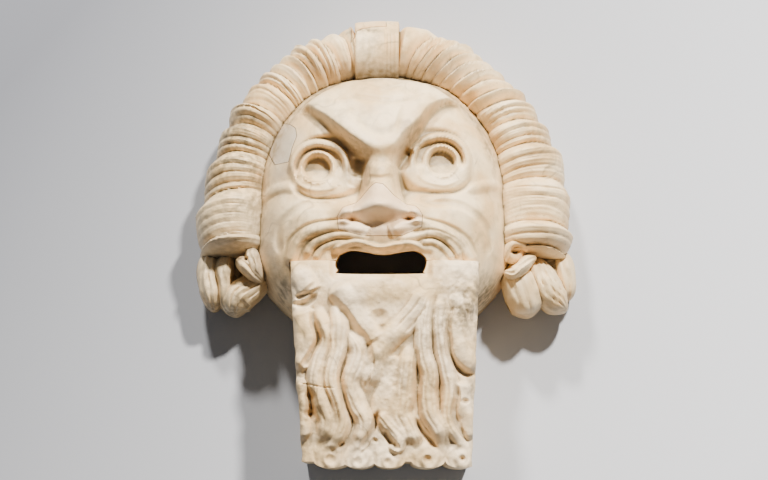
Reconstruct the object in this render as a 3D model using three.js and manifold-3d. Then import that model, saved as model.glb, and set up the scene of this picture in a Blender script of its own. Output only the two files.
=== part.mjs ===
// A marble theatre mask with a raised brow, a roll of hair and a square-cut beard.
// Millimetres. It lies on its back: +X to the viewer's right, +Y to the crown,
// +Z out of the face, with the flat back at Z = 0.
import * as THREE from "three";
import { mergeVertices } from "three/addons/utils/BufferGeometryUtils.js";
import Module from "manifold-3d";

const wasm = await Module();
wasm.setup();

// Driving sizes of the stone
const faceCentreX = -5;
const archCentreY = 70;
const faceRadius = 178;
const faceRise = 184;
const faceFullness = 3.4;
const jawTopY = -5;
const jawBottomY = -100;
const jawTaper = 0.34;
const muzzleRise = 12;

const hairTuck = 26;
const hairInnerRadius = faceRadius - hairTuck;
const hairWidthCrown = 80;
const hairWidthLeft = 101;
const hairWidthRight = 106;
const hairBottomY = -18;
const hairMidHeight = 46;
const hairCrest = 72;
const hairBelow = 105;
const tierProud = 11;
const strandDepth = 2.6;

const knotStartX = -44;
const knotEndX = 20;
const knotProud = 17;
const knotOverhang = 11;
const knotReach = 4;

const beardTopY = -36;
const beardBottomY = -290;
const beardTopHalf = 122;
const beardBottomHalf = 109;
const beardCentreX = -2;
const beardLean = 3;
const beardRise = 192;
const beardBelly = 12;
const beardEdgeDrop = 13;
const lockDepth = 9;
const curlRadius = 15;
const curlRise = 7;

const mouthLeftX = -65;
const mouthRightX = 52;
const mouthTopY = -25;
const mouthBottomY = -54;

const hollowCentreY = 22;
const hollowHalfWidth = 122;
const hollowHalfHeight = 132;
const hollowDepth = 128;

const jointGap = 0.5;
const faceColumns = 37;
const faceRows = 37;
const beardRows = 26;

// Small curves shared by all the carving
const clamp01 = (value) => Math.min(1, Math.max(0, value));
const smooth = (low, high, value) => {
  const t = clamp01((value - low) / (high - low));
  return t * t * (3 - 2 * t);
};
const mix = (a, b, share) => a + (b - a) * share;
const bump = (x, y, centreX, centreY, spreadX, spreadY) =>
  Math.exp(-(((x - centreX) / spreadX) ** 2) - ((y - centreY) / spreadY) ** 2);
// A round ridge of half width 1 that falls to nothing at 1.
const ridge = (distance) => (distance < 1 ? (1 - distance * distance) ** 1.5 : 0);

// A stroke of the chisel: a soft path, with its width and its height or depth.
function stroke(points, width, rise, taper = 0) {
  const curve = new THREE.SplineCurve(points.map(([x, y]) => new THREE.Vector2(x, y)));
  return { line: curve.getPoints(points.length * 5), width, rise, taper };
}

function strokeHeight({ line, width, rise, taper }, x, y) {
  let nearest = Infinity;
  let along = 0;
  for (let i = 0; i + 1 < line.length; i++) {
    const runX = line[i + 1].x - line[i].x;
    const runY = line[i + 1].y - line[i].y;
    const t = clamp01(((x - line[i].x) * runX + (y - line[i].y) * runY) / (runX * runX + runY * runY));
    const distance = Math.hypot(x - line[i].x - runX * t, y - line[i].y - runY * t);
    if (distance < nearest) {
      nearest = distance;
      along = (i + t) / (line.length - 1);
    }
  }
  const ends = taper ? smooth(0, taper, along) * smooth(0, taper, 1 - along) : 1;
  return rise * ends * ridge((2 * nearest) / width);
}

// The face: an upright dome with a tapered jaw
function dome(x, y) {
  const drop = clamp01((jawTopY - y) / (jawTopY - jawBottomY));
  const halfWidth = faceRadius * (1 - jawTaper * drop * drop);
  const radius =
    y > archCentreY
      ? Math.hypot(x - faceCentreX, y - archCentreY) / faceRadius
      : Math.abs(x - faceCentreX) / halfWidth;
  const inside = Math.min(1 - radius ** faceFullness, 1 - drop ** 4);
  return inside > 0 ? faceRise * Math.sqrt(inside) : -30;
}

// The lower edge of the brows, from the left temple to the right one: the right brow is raised.
const browLine = [
  [-190, 136], [-146, 164], [-116, 167], [-88, 152], [-62, 127], [-44, 109], [-27, 96],
  [-6, 90], [13, 96], [27, 112], [46, 137], [60, 158], [80, 173], [106, 175], [130, 160],
  [145, 136], [180, 90],
];

function browY(x) {
  const last = browLine.length - 1;
  const at = browLine.findIndex(([px]) => px >= x);
  const i = Math.min(Math.max(at, 1), last);
  const p = [i - 2, i - 1, i, i + 1].map((k) => browLine[Math.min(Math.max(k, 0), last)]);
  const t = clamp01((x - p[1][0]) / (p[2][0] - p[1][0]));
  const startSlope = (p[2][1] - p[0][1]) / (p[2][0] - p[0][0]);
  const endSlope = (p[3][1] - p[1][1]) / (p[3][0] - p[1][0]);
  const run = p[2][0] - p[1][0];
  return (
    (2 * t ** 3 - 3 * t ** 2 + 1) * p[1][1] +
    (t ** 3 - 2 * t ** 2 + t) * run * startSlope +
    (3 * t ** 2 - 2 * t ** 3) * p[2][1] +
    (t ** 3 - t ** 2) * run * endSlope
  );
}

// Each eye: a bowl for the pupil, a raised iris rim, a lid band above and a bag below.
const eyes = [
  { x: -89, y: 87, height: 160, outward: -1, bagX: -77, bagHalfWidth: 48, bagHalfHeight: 42 },
  { x: 72, y: 95, height: 163, outward: 1, bagX: 66, bagHalfWidth: 48, bagHalfHeight: 43 },
];
const pupilRadius = 19;
const pupilDepth = 13;
const irisRadius = 23;
const lidInnerRadius = 29;
const lidOuterRadius = 38;
const lidRise = 7;
const lidGroove = 5;
const bagRise = 5;

// How far out of an eye's oval a place lies: 1 at its border
const eyeReach = (eye, x, y) =>
  (
    Math.abs((x - eye.bagX) / eye.bagHalfWidth) ** 2.6
    + Math.abs((y - eye.y) / eye.bagHalfHeight) ** 2.6
  ) ** (1 / 2.6);
// The flat bed in the face that each carved eye sits on
const eyeBed = (eye, x, y) => eye.height - 9 - 0.16 * eye.outward * (x - eye.x);

function eyeHeight(eye, x, y) {
  const radius = Math.hypot(x - eye.x, y - eye.y);
  const upper = smooth(-0.4, 0.15, (y - eye.y) / Math.max(radius, 1));
  const inward = smooth(0.3, 1, (-eye.outward * (x - eye.x)) / Math.max(radius, 1));
  let z = eye.height - 0.16 * eye.outward * (x - eye.x);
  const ramp = clamp01(1 + (y - eye.y + 1) / pupilRadius);
  if (radius < pupilRadius) z -= pupilDepth * Math.min(1, 6 * (1 - radius / pupilRadius)) * ramp;
  const rimMiddle = (pupilRadius + irisRadius) / 2;
  z += 2.5 * ridge(Math.abs(radius - rimMiddle) / (irisRadius - rimMiddle));
  const lidInner = lidInnerRadius + 5 * inward;
  const lidOuter = lidOuterRadius + 3 * inward;
  const lid = smooth(lidInner - 1, lidInner + 1.5, radius) * (1 - smooth(lidOuter - 2, lidOuter + 3, radius));
  z += upper * (lidRise * lid - lidGroove * smooth(irisRadius, irisRadius + 3, radius) * (1 - lid));
  const reach = eyeReach(eye, x, y);
  z += (1 - upper) * (bagRise * ridge(Math.abs(reach - 0.7) / 0.42) - 3 * smooth(0.84, 1, reach));
  return z;
}

const bridgeX = -7;
const noseRootY = 110;
const noseTipY = 30;
const noseFootY = 10;
const noseRise = 45;
const noseHalfWidth = 36;
const wingSpread = 43;
const wingRise = 25;

// How far the nose stands out at a place: a ridge with a round tip, wings beside it and nostrils below
function noseHeight(x, y) {
  const down = clamp01((noseRootY - y) / (noseRootY - noseTipY));
  const underside = smooth(noseFootY - 3, noseTipY - 3, y);
  const halfWidth = mix(21, noseHalfWidth, down ** 2);
  const across = clamp01(Math.abs(x - bridgeX) / halfWidth);
  const root = 10 * bump(x, y, bridgeX, 84, 24, 18);
  const bulb = 8 * bump(x, y, bridgeX, noseTipY, 19, 13) * underside;
  const besideTip = [-1, 1].map((side) => bridgeX + side * wingSpread);
  const wings = besideTip.reduce((sum, at) => sum + bump(x, y, at, noseTipY - 6, 13, 13), 0);
  const nostril = (at) => bump(x, y, mix(at, bridgeX, 0.18), noseTipY - 15, 8, 5);
  const nostrils = besideTip.reduce((sum, at) => sum + nostril(at), 0);
  return (
    noseRise * down ** 1.2 * (1 - across * across) ** 0.85 * underside + root + bulb +
    wingRise * wings * smooth(noseFootY - 8, noseTipY - 16, y) - 13 * nostrils
  );
}

// Folds of the cheeks, the moustache and the lip
const cheekFolds = [
  stroke([[-62, 35], [-101, 37], [-132, 19], [-140, -3], [-135, -26]], 15, -4, 0.15),
  stroke([[42, 37], [92, 37], [124, 19], [134, -3], [130, -28]], 15, -4, 0.15),
];
const browFurrow = stroke([[-60, 186], [-30, 176], [0, 172], [30, 176], [60, 188]], 13, -3, 0.2);
const moustachePaths = [
  [[-17, -7], [-38, 0], [-60, 6], [-88, 7], [-111, -1], [-126, -18], [-131, -34]],
  [[3, -4], [20, 2], [40, 5], [69, 8], [97, -4], [114, -20], [119, -40]],
];
const moustacheFocus = [[-84, -36], [76, -38]];
const moustache = moustachePaths.flatMap((path, side) =>
  [0, 0.36].map((inward) =>
    stroke(
      path.map(([x, y]) => [
        mix(x, moustacheFocus[side][0], inward * 0.5),
        mix(y, moustacheFocus[side][1], inward),
      ]),
      19 - 14 * inward,
      9 - 9 * inward,
      0.12,
    ),
  ),
);
// The drilled pits at the inner corners of the eyes
const innerCorners = [
  stroke([[-31, 100], [-34, 86], [-40, 74]], 15, -13, 0.1),
  stroke([[32, 110], [24, 97], [17, 84]], 12, -13, 0.1),
];
const lipFall = 9;
const upperLip = stroke(
  [[-70, -33], [-56, -19], [-30, -16], [-8, -19], [14, -16], [40, -16], [56, -31]],
  13, 7, 0.1,
);

const foreheadTopY = 213;
const foreheadRise = 13;
const browRollRise = 9;

function foreheadHeight(x, y, aboveBrow) {
  const u = x - faceCentreX;
  const topY = foreheadTopY - 24 * Math.exp(-((u / 26) ** 2)) - 0.0022 * Math.max(0, Math.abs(u) - 70) ** 2;
  const below = smooth(topY + 9, topY - 9, y);
  const roll = ridge(Math.abs(aboveBrow - 14) / 22) * smooth(165, 120, Math.abs(u));
  return foreheadRise * below + browRollRise * roll;
}

function faceHeight(x, y) {
  const skin =
    dome(x, y) +
    muzzleRise * bump(x, y, faceCentreX, -18, 82, 46) +
    8 * bump(x, y, -112, 28, 34, 26) +
    8 * bump(x, y, 104, 28, 34, 26);
  const slope = (browY(x + 2) - browY(x - 2)) / 4;
  const aboveBrow = (y - browY(x)) / Math.hypot(1, slope);
  const clearOfNose = smooth(15, 30, Math.abs(x - bridgeX));
  const belowBrow = smooth(26, 60, y);
  const innerX = Math.abs(x - bridgeX);
  const socket = (9 + 17 * Math.exp(-(((innerX - 26) / 34) ** 2))) * clearOfNose * belowBrow;
  let lower = skin - socket;
  for (const eye of eyes) {
    const bed = Math.min(eyeBed(eye, x, y), skin + 8);
    lower = mix(lower, bed, 1 - smooth(0.92, 1.12, eyeReach(eye, x, y)));
  }
  lower += noseHeight(x, y);
  const carvings = [...cheekFolds, ...innerCorners, ...moustache, upperLip];
  for (const carving of carvings) lower += strokeHeight(carving, x, y);
  lower -= lipFall * smooth(-17, -27, y) * smooth(70, 60, Math.abs(x - (mouthLeftX + mouthRightX) / 2));
  const upper = skin + foreheadHeight(x, y, aboveBrow) + strokeHeight(browFurrow, x, y);
  const roundOver = mix(4, 26, Math.exp(-((innerX / 34) ** 2)));
  return mix(lower, upper, smooth(-4, roundOver, aboveBrow));
}

// The beard: a block cut square, with waved locks, a chin tuft and curled ends
const locks = [
  { x: -109, top: -84, tip: -176 },
  { x: -88, top: -84, tip: -272 },
  { x: -68, top: -84, tip: -272 },
  { x: -45, top: -108, tip: -276 },
  { x: -28, top: -126, tip: -276 },
  { x: 4, top: -146, tip: -270 },
  { x: 36, top: -92, tip: -268 },
  { x: 51, top: -84, tip: -268 },
  { x: 66, top: -88, tip: -268 },
  { x: 82, top: -92, tip: -262 },
  { x: 103, top: -78, tip: -176 },
];
const outerLockSpread = 48;
const lockHalf = (i) => {
  const before = i ? locks[i].x - locks[i - 1].x : outerLockSpread;
  const after = i + 1 < locks.length ? locks[i + 1].x - locks[i].x : outerLockSpread;
  return [before / 2, after / 2];
};
const waveTopY = -142;
const waveRun = 47;
const waveReach = 5.5;
const tipSweep = 11;
const chinTuft = [
  stroke([[-58, -82], [-40, -112], [-22, -140], [-9, -158]], 25, 13, 0.12),
  stroke([[44, -82], [27, -112], [10, -138], [-6, -158]], 25, 13, 0.12),
  stroke([[-8, -70], [-8, -92], [-8, -128]], 52, 7, 0.25),
];
const channels = [
  stroke([[-90, -98], [-86, -134], [-90, -152], [-110, -176]], 9, -10, 0.1),
  stroke([[-120, -94], [-98, -90], [-88, -76]], 8, -7, 0.15),
  stroke([[-97, -196], [-93, -216], [-92, -242]], 13, -12, 0.15),
  stroke([[-54, -168], [-53, -206], [-50, -230], [-52, -250]], 9, -11, 0.15),
  stroke([[-14, -176], [-22, -202]], 7, -8, 0.2),
  stroke([[77, -128], [80, -156], [90, -172], [112, -186]], 10, -11, 0.1),
  stroke([[84, -228], [94, -246], [108, -260]], 15, -12, 0.15),
  stroke([[-3, -238], [10, -254], [24, -266]], 12, -10, 0.15),
  stroke([[40, -240], [58, -256], [76, -268]], 12, -9, 0.15),
  stroke([[-18, -246], [-28, -260], [-42, -270]], 9, -8, 0.15),
  stroke([[-56, -246], [-66, -260], [-80, -268]], 9, -8, 0.15),
];
const curls = [
  { x: -70, y: -278, radius: curlRadius },
  { x: -28, y: -280, radius: curlRadius },
  { x: 6, y: -283, radius: curlRadius },
  { x: 56, y: -281, radius: curlRadius },
  { x: 97, y: -279, radius: curlRadius * 1.1 },
];
const dimple = { x: -8, y: -109, halfWidth: 12, halfHeight: 8, depth: 5 };

const beardDown = (y) => clamp01((beardTopY - y) / (beardTopY - beardBottomY));
const beardHalfAt = (y) => mix(beardTopHalf, beardBottomHalf, beardDown(y));
const beardMiddleAt = (y) => beardCentreX + beardLean * beardDown(y);

// All the locks wave together, mirrored about the chin, and their tips sweep outward.
function flowX(x, y) {
  const wave = Math.cos((Math.PI * (waveTopY - y)) / waveRun) * smooth(-96, -130, y);
  const side = Math.tanh((x + 8) / 14);
  const edge = 1 - clamp01(Math.abs(x - beardCentreX) / beardTopHalf) ** 6;
  const squeeze = mix(1, beardHalfAt(y) / beardTopHalf, (Math.abs(x - beardCentreX) / beardTopHalf) ** 2);
  const sweep = tipSweep * smooth(-236, -272, y) - waveReach * wave;
  return beardMiddleAt(y) + (x - beardCentreX) * squeeze + edge * side * sweep;
}

// The height of the front at a place on the block, where x0 is the strand's place before it waves
function beardHeight(x0, y, x = flowX(x0, y)) {
  const down = (beardTopY - y) / (beardTopY - beardBottomY);
  const across = Math.abs(x - beardMiddleAt(y)) / beardHalfAt(y);
  const belly = Math.sin(Math.PI * clamp01(down * 1.1) ** 0.8);
  let z = beardRise + beardBelly * belly - beardEdgeDrop * across ** 3;
  let carved = 0;
  locks.forEach((lock, i) => {
    const [left, right] = lockHalf(i);
    const t = (x0 - lock.x) / (x0 < lock.x ? left : right);
    const ends = smooth(lock.top + 12, lock.top - 16, y) * smooth(lock.tip - 12, lock.tip + 6, y);
    if (Math.abs(t) <= 1) carved = lockDepth * (ends * Math.sqrt(1 - t * t) - smooth(-78, -112, y));
  });
  z += Math.max(carved, ...chinTuft.map((s) => strokeHeight(s, x, y) - lockDepth * smooth(-88, -130, y)));
  for (const channel of channels) z += strokeHeight(channel, x, y);
  for (const curl of curls) {
    const radius = Math.hypot(x - curl.x, y - curl.y) / curl.radius;
    z += curlRise * ridge(radius * 0.85) - 9 * ridge(radius * 3.2);
  }
  z -= dimple.depth * ridge(Math.hypot((x - dimple.x) / dimple.halfWidth, (y - dimple.y) / dimple.halfHeight));
  const fromMouth = Math.hypot(
    Math.max(0, Math.abs(x - (mouthLeftX + mouthRightX) / 2) - (mouthRightX - mouthLeftX) / 2),
    Math.max(0, mouthBottomY - y),
  );
  return z - 3 * smooth(beardTopY - 7, beardTopY, y) - 8 * smooth(9, 0, fromMouth);
}

// Turning three.js shapes into solids, and back into meshes
function solidOf(geometry) {
  geometry.deleteAttribute("normal");
  geometry.deleteAttribute("uv");
  const merged = mergeVertices(geometry, 1e-4);
  return new wasm.Manifold(
    new wasm.Mesh({
      numProp: 3,
      vertProperties: new Float32Array(merged.attributes.position.array),
      triVerts: new Uint32Array(merged.index.array),
    }),
  );
}

function reshape(geometry, move) {
  const position = geometry.attributes.position;
  const point = new THREE.Vector3();
  for (let i = 0; i < position.count; i++) {
    point.fromBufferAttribute(position, i);
    move(point);
    position.setXYZ(i, point.x, point.y, point.z);
  }
  return geometry;
}

const floorMargin = 30;

// A block whose front is a grid: each of its points is placed by a function of its column and row,
// both from 0 to 1, that returns x, y and z.
function reliefBlock(columns, rows, place) {
  const block = new THREE.BoxGeometry(1, 1, 1, columns, rows, 1);
  return solidOf(
    reshape(block, (point) => {
      const [x, y, z] = place(point.x + 0.5, point.y + 0.5);
      point.set(x, y, point.z > 0 ? z : -floorMargin);
    }),
  );
}

// A round boss whose front is a wheel of rings, for the eyes
function ringBoss(radii, spokes, back, place) {
  const rows = radii.length + 2;
  const ball = new THREE.SphereGeometry(1, spokes, rows).rotateX(Math.PI / 2);
  return solidOf(
    reshape(ball, (point) => {
      const row = Math.round((Math.acos(clamp01((1 + point.z) / 2) * 2 - 1) / Math.PI) * rows);
      const radius = row === 0 || row === rows ? 0 : radii[Math.min(row, radii.length) - 1];
      const [x, y, z] = place(radius, Math.atan2(point.y, point.x));
      point.set(x, y, row > radii.length ? back : z);
    }),
  );
}

// An outline pushed outward all round by a fixed distance
function grown(points, distance) {
  const turn = Math.sign(THREE.ShapeUtils.area(points.map(([x, y]) => new THREE.Vector2(x, y))));
  const corners = points.map(([x, y]) => new THREE.Vector2(x, y));
  return corners.map((corner, i) => {
    const before = corners[(i + corners.length - 1) % corners.length];
    const after = corners[(i + 1) % corners.length];
    const outward = (from, to) =>
      new THREE.Vector2(to.y - from.y, from.x - to.x).normalize().multiplyScalar(turn);
    const first = outward(before, corner);
    const second = outward(corner, after);
    const share = distance / (1 + first.dot(second));
    return corner.clone().addScaledVector(first, share).addScaledVector(second, share);
  });
}

// A prism over a flat outline, from one height to another
function prism(points, low, high, grow = 0) {
  const shape = new THREE.Shape(grown(points, grow));
  const solid = new THREE.ExtrudeGeometry(shape, { depth: high - low + grow, bevelEnabled: false });
  return solidOf(solid.translate(0, 0, low - grow));
}

// The hair roll runs up one side, over the crown and down the other. Each side lists its tiers from
// the knot down: where each ends, along the outer edge, and how many strands it has.
const outerRadius = hairInnerRadius + hairWidthCrown;
const quarter = (Math.PI / 2) * outerRadius;
const sideRun = archCentreY - hairBottomY;
const rollLength = quarter + sideRun;
const leftTiers = [
  [0.12, 1], [0.18, 1], [0.235, 2], [0.285, 2], [0.325, 1], [0.365, 1], [0.41, 2], [0.5, 2], [0.57, 2],
  [0.675, 3], [0.808, 3], [0.942, 3], [1, 1],
];
const rightTiers = [
  [0.119, 1], [0.16, 2], [0.2, 1], [0.245, 1], [0.285, 1], [0.33, 2], [0.38, 1], [0.43, 1], [0.475, 1],
  [0.56, 2], [0.647, 2], [0.768, 3], [0.9, 3], [0.97, 1], [1, 1],
];
const knotShare = {
  left: (faceCentreX - knotStartX) / rollLength,
  right: (knotEndX - faceCentreX) / rollLength,
};

// The stations of one side: a groove and a ridge for each strand, and a ledge at the top of each tier
function stationsOf(tiers, knot) {
  const stations = [
    { share: 0, lift: 1, ridge: 1, knot: 1 },
    { share: knot * 0.62, lift: 1, ridge: 0.7, knot: 1 },
    { share: knot * 0.94, lift: 1, ridge: 0, knot: 0.9 },
  ];
  let start = knot;
  for (const [end, strands] of tiers) {
    for (let i = 0; i < strands; i++) {
      const from = i / strands;
      const to = (i + 1) / strands;
      const lift = 1 - 0.85 * from;
      stations.push({ share: mix(start, end, from + 0.08 / strands), lift: i ? lift : 0.35, ridge: -1, knot: 0 });
      stations.push({ share: mix(start, end, mix(from, to, 0.52)), lift, ridge: 1, knot: 0 });
    }
    start = end;
  }
  return stations;
}

const mirrored = (station, sign) => ({ ...station, share: station.share * sign });
const rollStations = [
  ...stationsOf(leftTiers, knotShare.left).map((s) => mirrored(s, -1)).reverse(),
  ...stationsOf(rightTiers, knotShare.right).slice(1),
];

// A place on the roll: how far along it, and where on its round section
function rollPoint(station, turn) {
  const side = Math.sign(station.share) || 1;
  const distance = Math.abs(station.share) * rollLength;
  const [widenFrom, widenTo] = side < 0 ? [0.74, 1.19] : [0.5, 1.14];
  const widen = smooth(widenFrom * quarter, widenTo * quarter, distance);
  const width = mix(hairWidthCrown, side < 0 ? hairWidthLeft : hairWidthRight, widen);
  const rise = tierProud * station.lift * (1 - station.knot) + knotProud * station.knot;
  const grooves = strandDepth * station.ridge * (1 - 0.7 * station.knot);
  const inner = hairInnerRadius - knotOverhang * station.knot;
  const edge = mix((rise - tierProud) * 0.6 + grooves * 0.35, knotReach, station.knot);
  const outer = hairInnerRadius + width + edge;
  const cosine = Math.cos(turn);
  const sine = Math.sin(turn);
  const round = (value) => Math.sign(value) * Math.abs(value) ** 0.85;
  const radius = (inner + outer) / 2 + ((outer - inner) / 2) * round(cosine);
  const closing = 1 - 0.5 * clamp01((Math.abs(station.share) - 0.93) / 0.07) ** 2;
  const up = (hairCrest + rise + grooves) * closing;
  const z = hairMidHeight + (sine > 0 ? up : hairBelow) * round(sine);
  const arcAngle = Math.min(distance / outerRadius, Math.PI / 2);
  const angle = station.knot ? mix(arcAngle, Math.asin(distance / radius), station.knot) : arcAngle;
  const beyond = Math.max(0, distance - quarter);
  return new THREE.Vector3(
    faceCentreX + side * radius * Math.sin(angle),
    archCentreY + radius * Math.cos(angle) - beyond,
    z,
  );
}

function hairRoll() {
  const sides = 10;
  const drum = new THREE.CylinderGeometry(1, 1, 1, sides, rollStations.length - 1);
  return solidOf(
    reshape(drum, (point) => {
      const row = Math.round((0.5 - point.y) * (rollStations.length - 1));
      const onAxis = Math.hypot(point.x, point.z) < 1e-6;
      const turn = Math.atan2(point.z, point.x);
      if (onAxis) {
        const first = rollPoint(rollStations[row], 0);
        point.copy(first.add(rollPoint(rollStations[row], Math.PI)).multiplyScalar(0.5));
      } else point.copy(rollPoint(rollStations[row], turn));
    }),
  );
}

// A lock of hair: a soft blunt roll along a path, with grooves along it. A path's places are its
// distance out from the face's side, its height above the end of the hair roll, and its Z.
function lockOf({ side, path, halfWidths, thickness, grooves, sides, rings }) {
  const placed = path.map(([out, up, z]) => [faceCentreX + side * (faceRadius + out), hairBottomY + up, z]);
  const curve = new THREE.CatmullRomCurve3(placed.map((p) => new THREE.Vector3(...p)));
  const ball = new THREE.SphereGeometry(1, sides, rings);
  return solidOf(
    reshape(ball, (point) => {
      const share = (1 - point.y) / 2;
      const ring = Math.hypot(point.x, point.z);
      const turn = Math.atan2(point.z, point.x);
      const centre = curve.getPoint(share);
      const tangent = curve.getTangent(share);
      const across = new THREE.Vector3(-tangent.y, tangent.x, 0).normalize();
      const at = share * (halfWidths.length - 1);
      const low = Math.min(Math.floor(at), halfWidths.length - 2);
      const half = mix(halfWidths[low], halfWidths[low + 1], at - low);
      const swell = ring > 1e-6 ? ring ** 0.5 : 0;
      const groove = 1 - 0.1 * (1 + Math.cos(turn * grooves * 2)) * Math.max(0, Math.sin(turn));
      point
        .copy(centre)
        .addScaledVector(across, half * swell * Math.cos(turn))
        .add(new THREE.Vector3(0, 0, thickness * swell * Math.sin(turn) * groove));
    }),
  );
}

const left = -1;
const right = 1;
const sideLocks = [
  {
    side: left, halfWidths: [40, 40, 34, 22], thickness: 34, grooves: 1, sides: 7, rings: 5,
    path: [[13, 32, 26], [21, -2, 26], [25, -28, 24], [25, -48, 20]],
  },
  {
    side: left, halfWidths: [13, 13, 13, 11], thickness: 34, grooves: 1,
    path: [[54, 14, 42], [57, -16, 48], [56, -44, 48], [52, -68, 40]],
  },
  {
    side: left, halfWidths: [15, 15, 13, 9], thickness: 37, grooves: 1,
    path: [[31, 8, 46], [38, -18, 54], [39, -44, 52], [44, -68, 40]],
  },
  {
    side: left, halfWidths: [13, 20, 23, 20, 11], thickness: 40, grooves: 3,
    path: [[-33, -20, 50], [-4, -39, 58], [13, -51, 58], [19, -65, 50], [19, -77, 40]],
  },
  {
    side: right, halfWidths: [40, 42, 34, 22], thickness: 34, grooves: 1, sides: 7, rings: 5,
    path: [[33, 32, 26], [37, -2, 26], [43, -28, 24], [47, -44, 20]],
  },
  {
    side: right, halfWidths: [16, 24, 26, 23, 12], thickness: 40, grooves: 2,
    path: [[3, -2, 50], [4, -26, 60], [11, -49, 60], [17, -66, 52], [21, -78, 42]],
  },
  {
    side: right, halfWidths: [14, 16, 18, 16, 9], thickness: 38, grooves: 3,
    path: [[25, 4, 48], [33, -22, 56], [44, -45, 54], [59, -60, 46], [72, -69, 38]],
  },
  {
    side: right, halfWidths: [16, 14, 11, 9], thickness: 34, grooves: 1,
    path: [[63, 12, 40], [69, -16, 44], [75, -40, 42], [77, -61, 36]],
  },
];
const ears = [
  {
    side: left, halfWidths: [11, 12, 8], thickness: 22, grooves: 1,
    path: [[-12, 4, 84], [3, 0, 88], [17, -4, 86]],
  },
  {
    side: left, halfWidths: [10, 17, 17, 9], thickness: 26, grooves: 1,
    path: [[-6, 16, 76], [-8, -4, 86], [-13, -22, 88], [-18, -33, 84]],
  },
  {
    side: right, halfWidths: [11, 17, 14], thickness: 24, grooves: 1,
    path: [[-3, 22, 76], [-1, 6, 86], [-5, -8, 84]],
  },
  {
    side: right, halfWidths: [7, 8, 7], thickness: 14, grooves: 1,
    path: [[4, -14, 90], [17, -7, 94], [31, 2, 88]],
  },
  {
    side: right, halfWidths: [8, 10, 8], thickness: 20, grooves: 1,
    path: [[-16, -17, 84], [-3, -24, 90], [12, -14, 88]],
  },
];
const lockGrid = { sides: 8, rings: 7 };
const earGrid = { sides: 6, rings: 5 };

// The face's grid: finer about the nose and mouth, and its rows bend to run along the brows.
const faceAcross = [
  [0, faceCentreX - faceRadius - 4], [0.22, -95], [0.78, 85], [1, faceCentreX + faceRadius + 4],
];
const faceUp = [[0, jawBottomY - 4], [0.13, -44], [0.52, 58], [1, archCentreY + faceRadius + 4]];
const bendLow = 30;
const bendMiddle = 130;
const bendHigh = 214;

function along(marks, share) {
  const i = Math.max(1, marks.findIndex(([at]) => at >= share));
  const [[from, low], [to, high]] = [marks[i - 1], marks[i]];
  return mix(low, high, (share - from) / (to - from));
}

function facePoint(column, row) {
  const x = along(faceAcross, column);
  const flat = along(faceUp, row);
  const brow = browY(x);
  let y = flat;
  if (flat > bendLow && flat <= bendMiddle) y = mix(bendLow, brow, (flat - bendLow) / (bendMiddle - bendLow));
  else if (flat > bendMiddle && flat < bendHigh) y = mix(brow, bendHigh, (flat - bendMiddle) / (bendHigh - bendMiddle));
  return [x, y, faceHeight(x, y)];
}

const eyeRings = [13, pupilRadius, 21, irisRadius, 28.5, 31.5, 38, 46, 58];
const eyeSpokes = 22;
function eyeBoss(eye) {
  return ringBoss(eyeRings, eyeSpokes, eye.height - 60, (radius, turn) => {
    const y = eye.y + radius * Math.sin(turn);
    const x = eye.x + radius * Math.cos(turn);
    const sunk = 20 * smooth(1, 1.08, eyeReach(eye, x, y));
    return [x, y, eyeHeight(eye, x, y) - sunk];
  });
}

// The whole stone, as it was first carved
function carvedStone() {
  const face = reliefBlock(faceColumns, faceRows, facePoint);
  const carved = [
    ...sideLocks.map((lock) => lockOf({ ...lockGrid, ...lock })),
    ...ears.map((lobe) => lockOf({ ...earGrid, ...lobe })),
  ];
  const added = [hairRoll(), ...eyes.map(eyeBoss), ...carved];
  return added.reduce((all, next) => all.add(next), face);
}

// The beard's columns stand on the ridges and in the grooves of its locks, and its lower edge hangs
// in the scallops of the curls.
const beardColumns = locks.flatMap((lock, i) => {
  const [left, right] = lockHalf(i).map((half) => Math.min(half, 15));
  return [lock.x - 0.98 * left, lock.x - 0.5 * left, lock.x + 0.5 * right];
});
beardColumns[0] = beardCentreX - beardTopHalf;
beardColumns.push(beardCentreX + beardTopHalf);

function beardBlock() {
  return reliefBlock(beardColumns.length - 1, beardRows, (column, row) => {
    const x0 = beardColumns[Math.round(column * (beardColumns.length - 1))];
    const y = mix(beardBottomY, beardTopY, row);
    const x = flowX(x0, y);
    const hang = curls.reduce((most, curl) => {
      const away = (x - curl.x) / (curl.radius * 1.15);
      return Math.max(most, Math.sqrt(Math.max(0, 1 - away * away)));
    }, 0);
    const lowered = y - 8 * hang * (1 - row) ** 6;
    return [x, lowered, beardHeight(x0, y, x)];
  });
}

// Where the stones meet
const beardSeat = (grow) =>
  prism(
    [
      [beardCentreX - beardTopHalf, beardTopY],
      [beardCentreX + beardLean - beardBottomHalf, beardBottomY - 20],
      [beardCentreX + beardLean + beardBottomHalf, beardBottomY - 20],
      [beardCentreX + beardTopHalf, beardTopY],
    ],
    -floorMargin,
    300,
    grow,
  );
const noseOutline = [
  [-19, 56], [-13, 60], [-4, 58], [9, 45], [24, 37], [38, 31], [46, 20], [45, 5], [20, -6], [-32, -6], [-60, 2],
  [-62, 18], [-55, 29], [-36, 40],
];
// The patch at the temple: each corner's distance in from the face's left side, and its height
const patchCorners = [
  [47, 158], [56, 153], [64, 145], [66, 133], [60, 116], [56, 98], [37, 98], [28, 116], [35, 138],
];
const patchOutline = patchCorners.map(([inward, y]) => [faceCentreX - faceRadius + inward, y]);
const capOutline = [[-46, 264], [-41, 270], [-39, 278], [-32, 282], [-20, 285], [0, 286], [0, 330], [-46, 330]];
const noseSeatHeight = faceRise - 8;
const patchSeatHeight = eyes[0].height - 63;
const capSeatHeight = hairMidHeight + 32;

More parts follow.
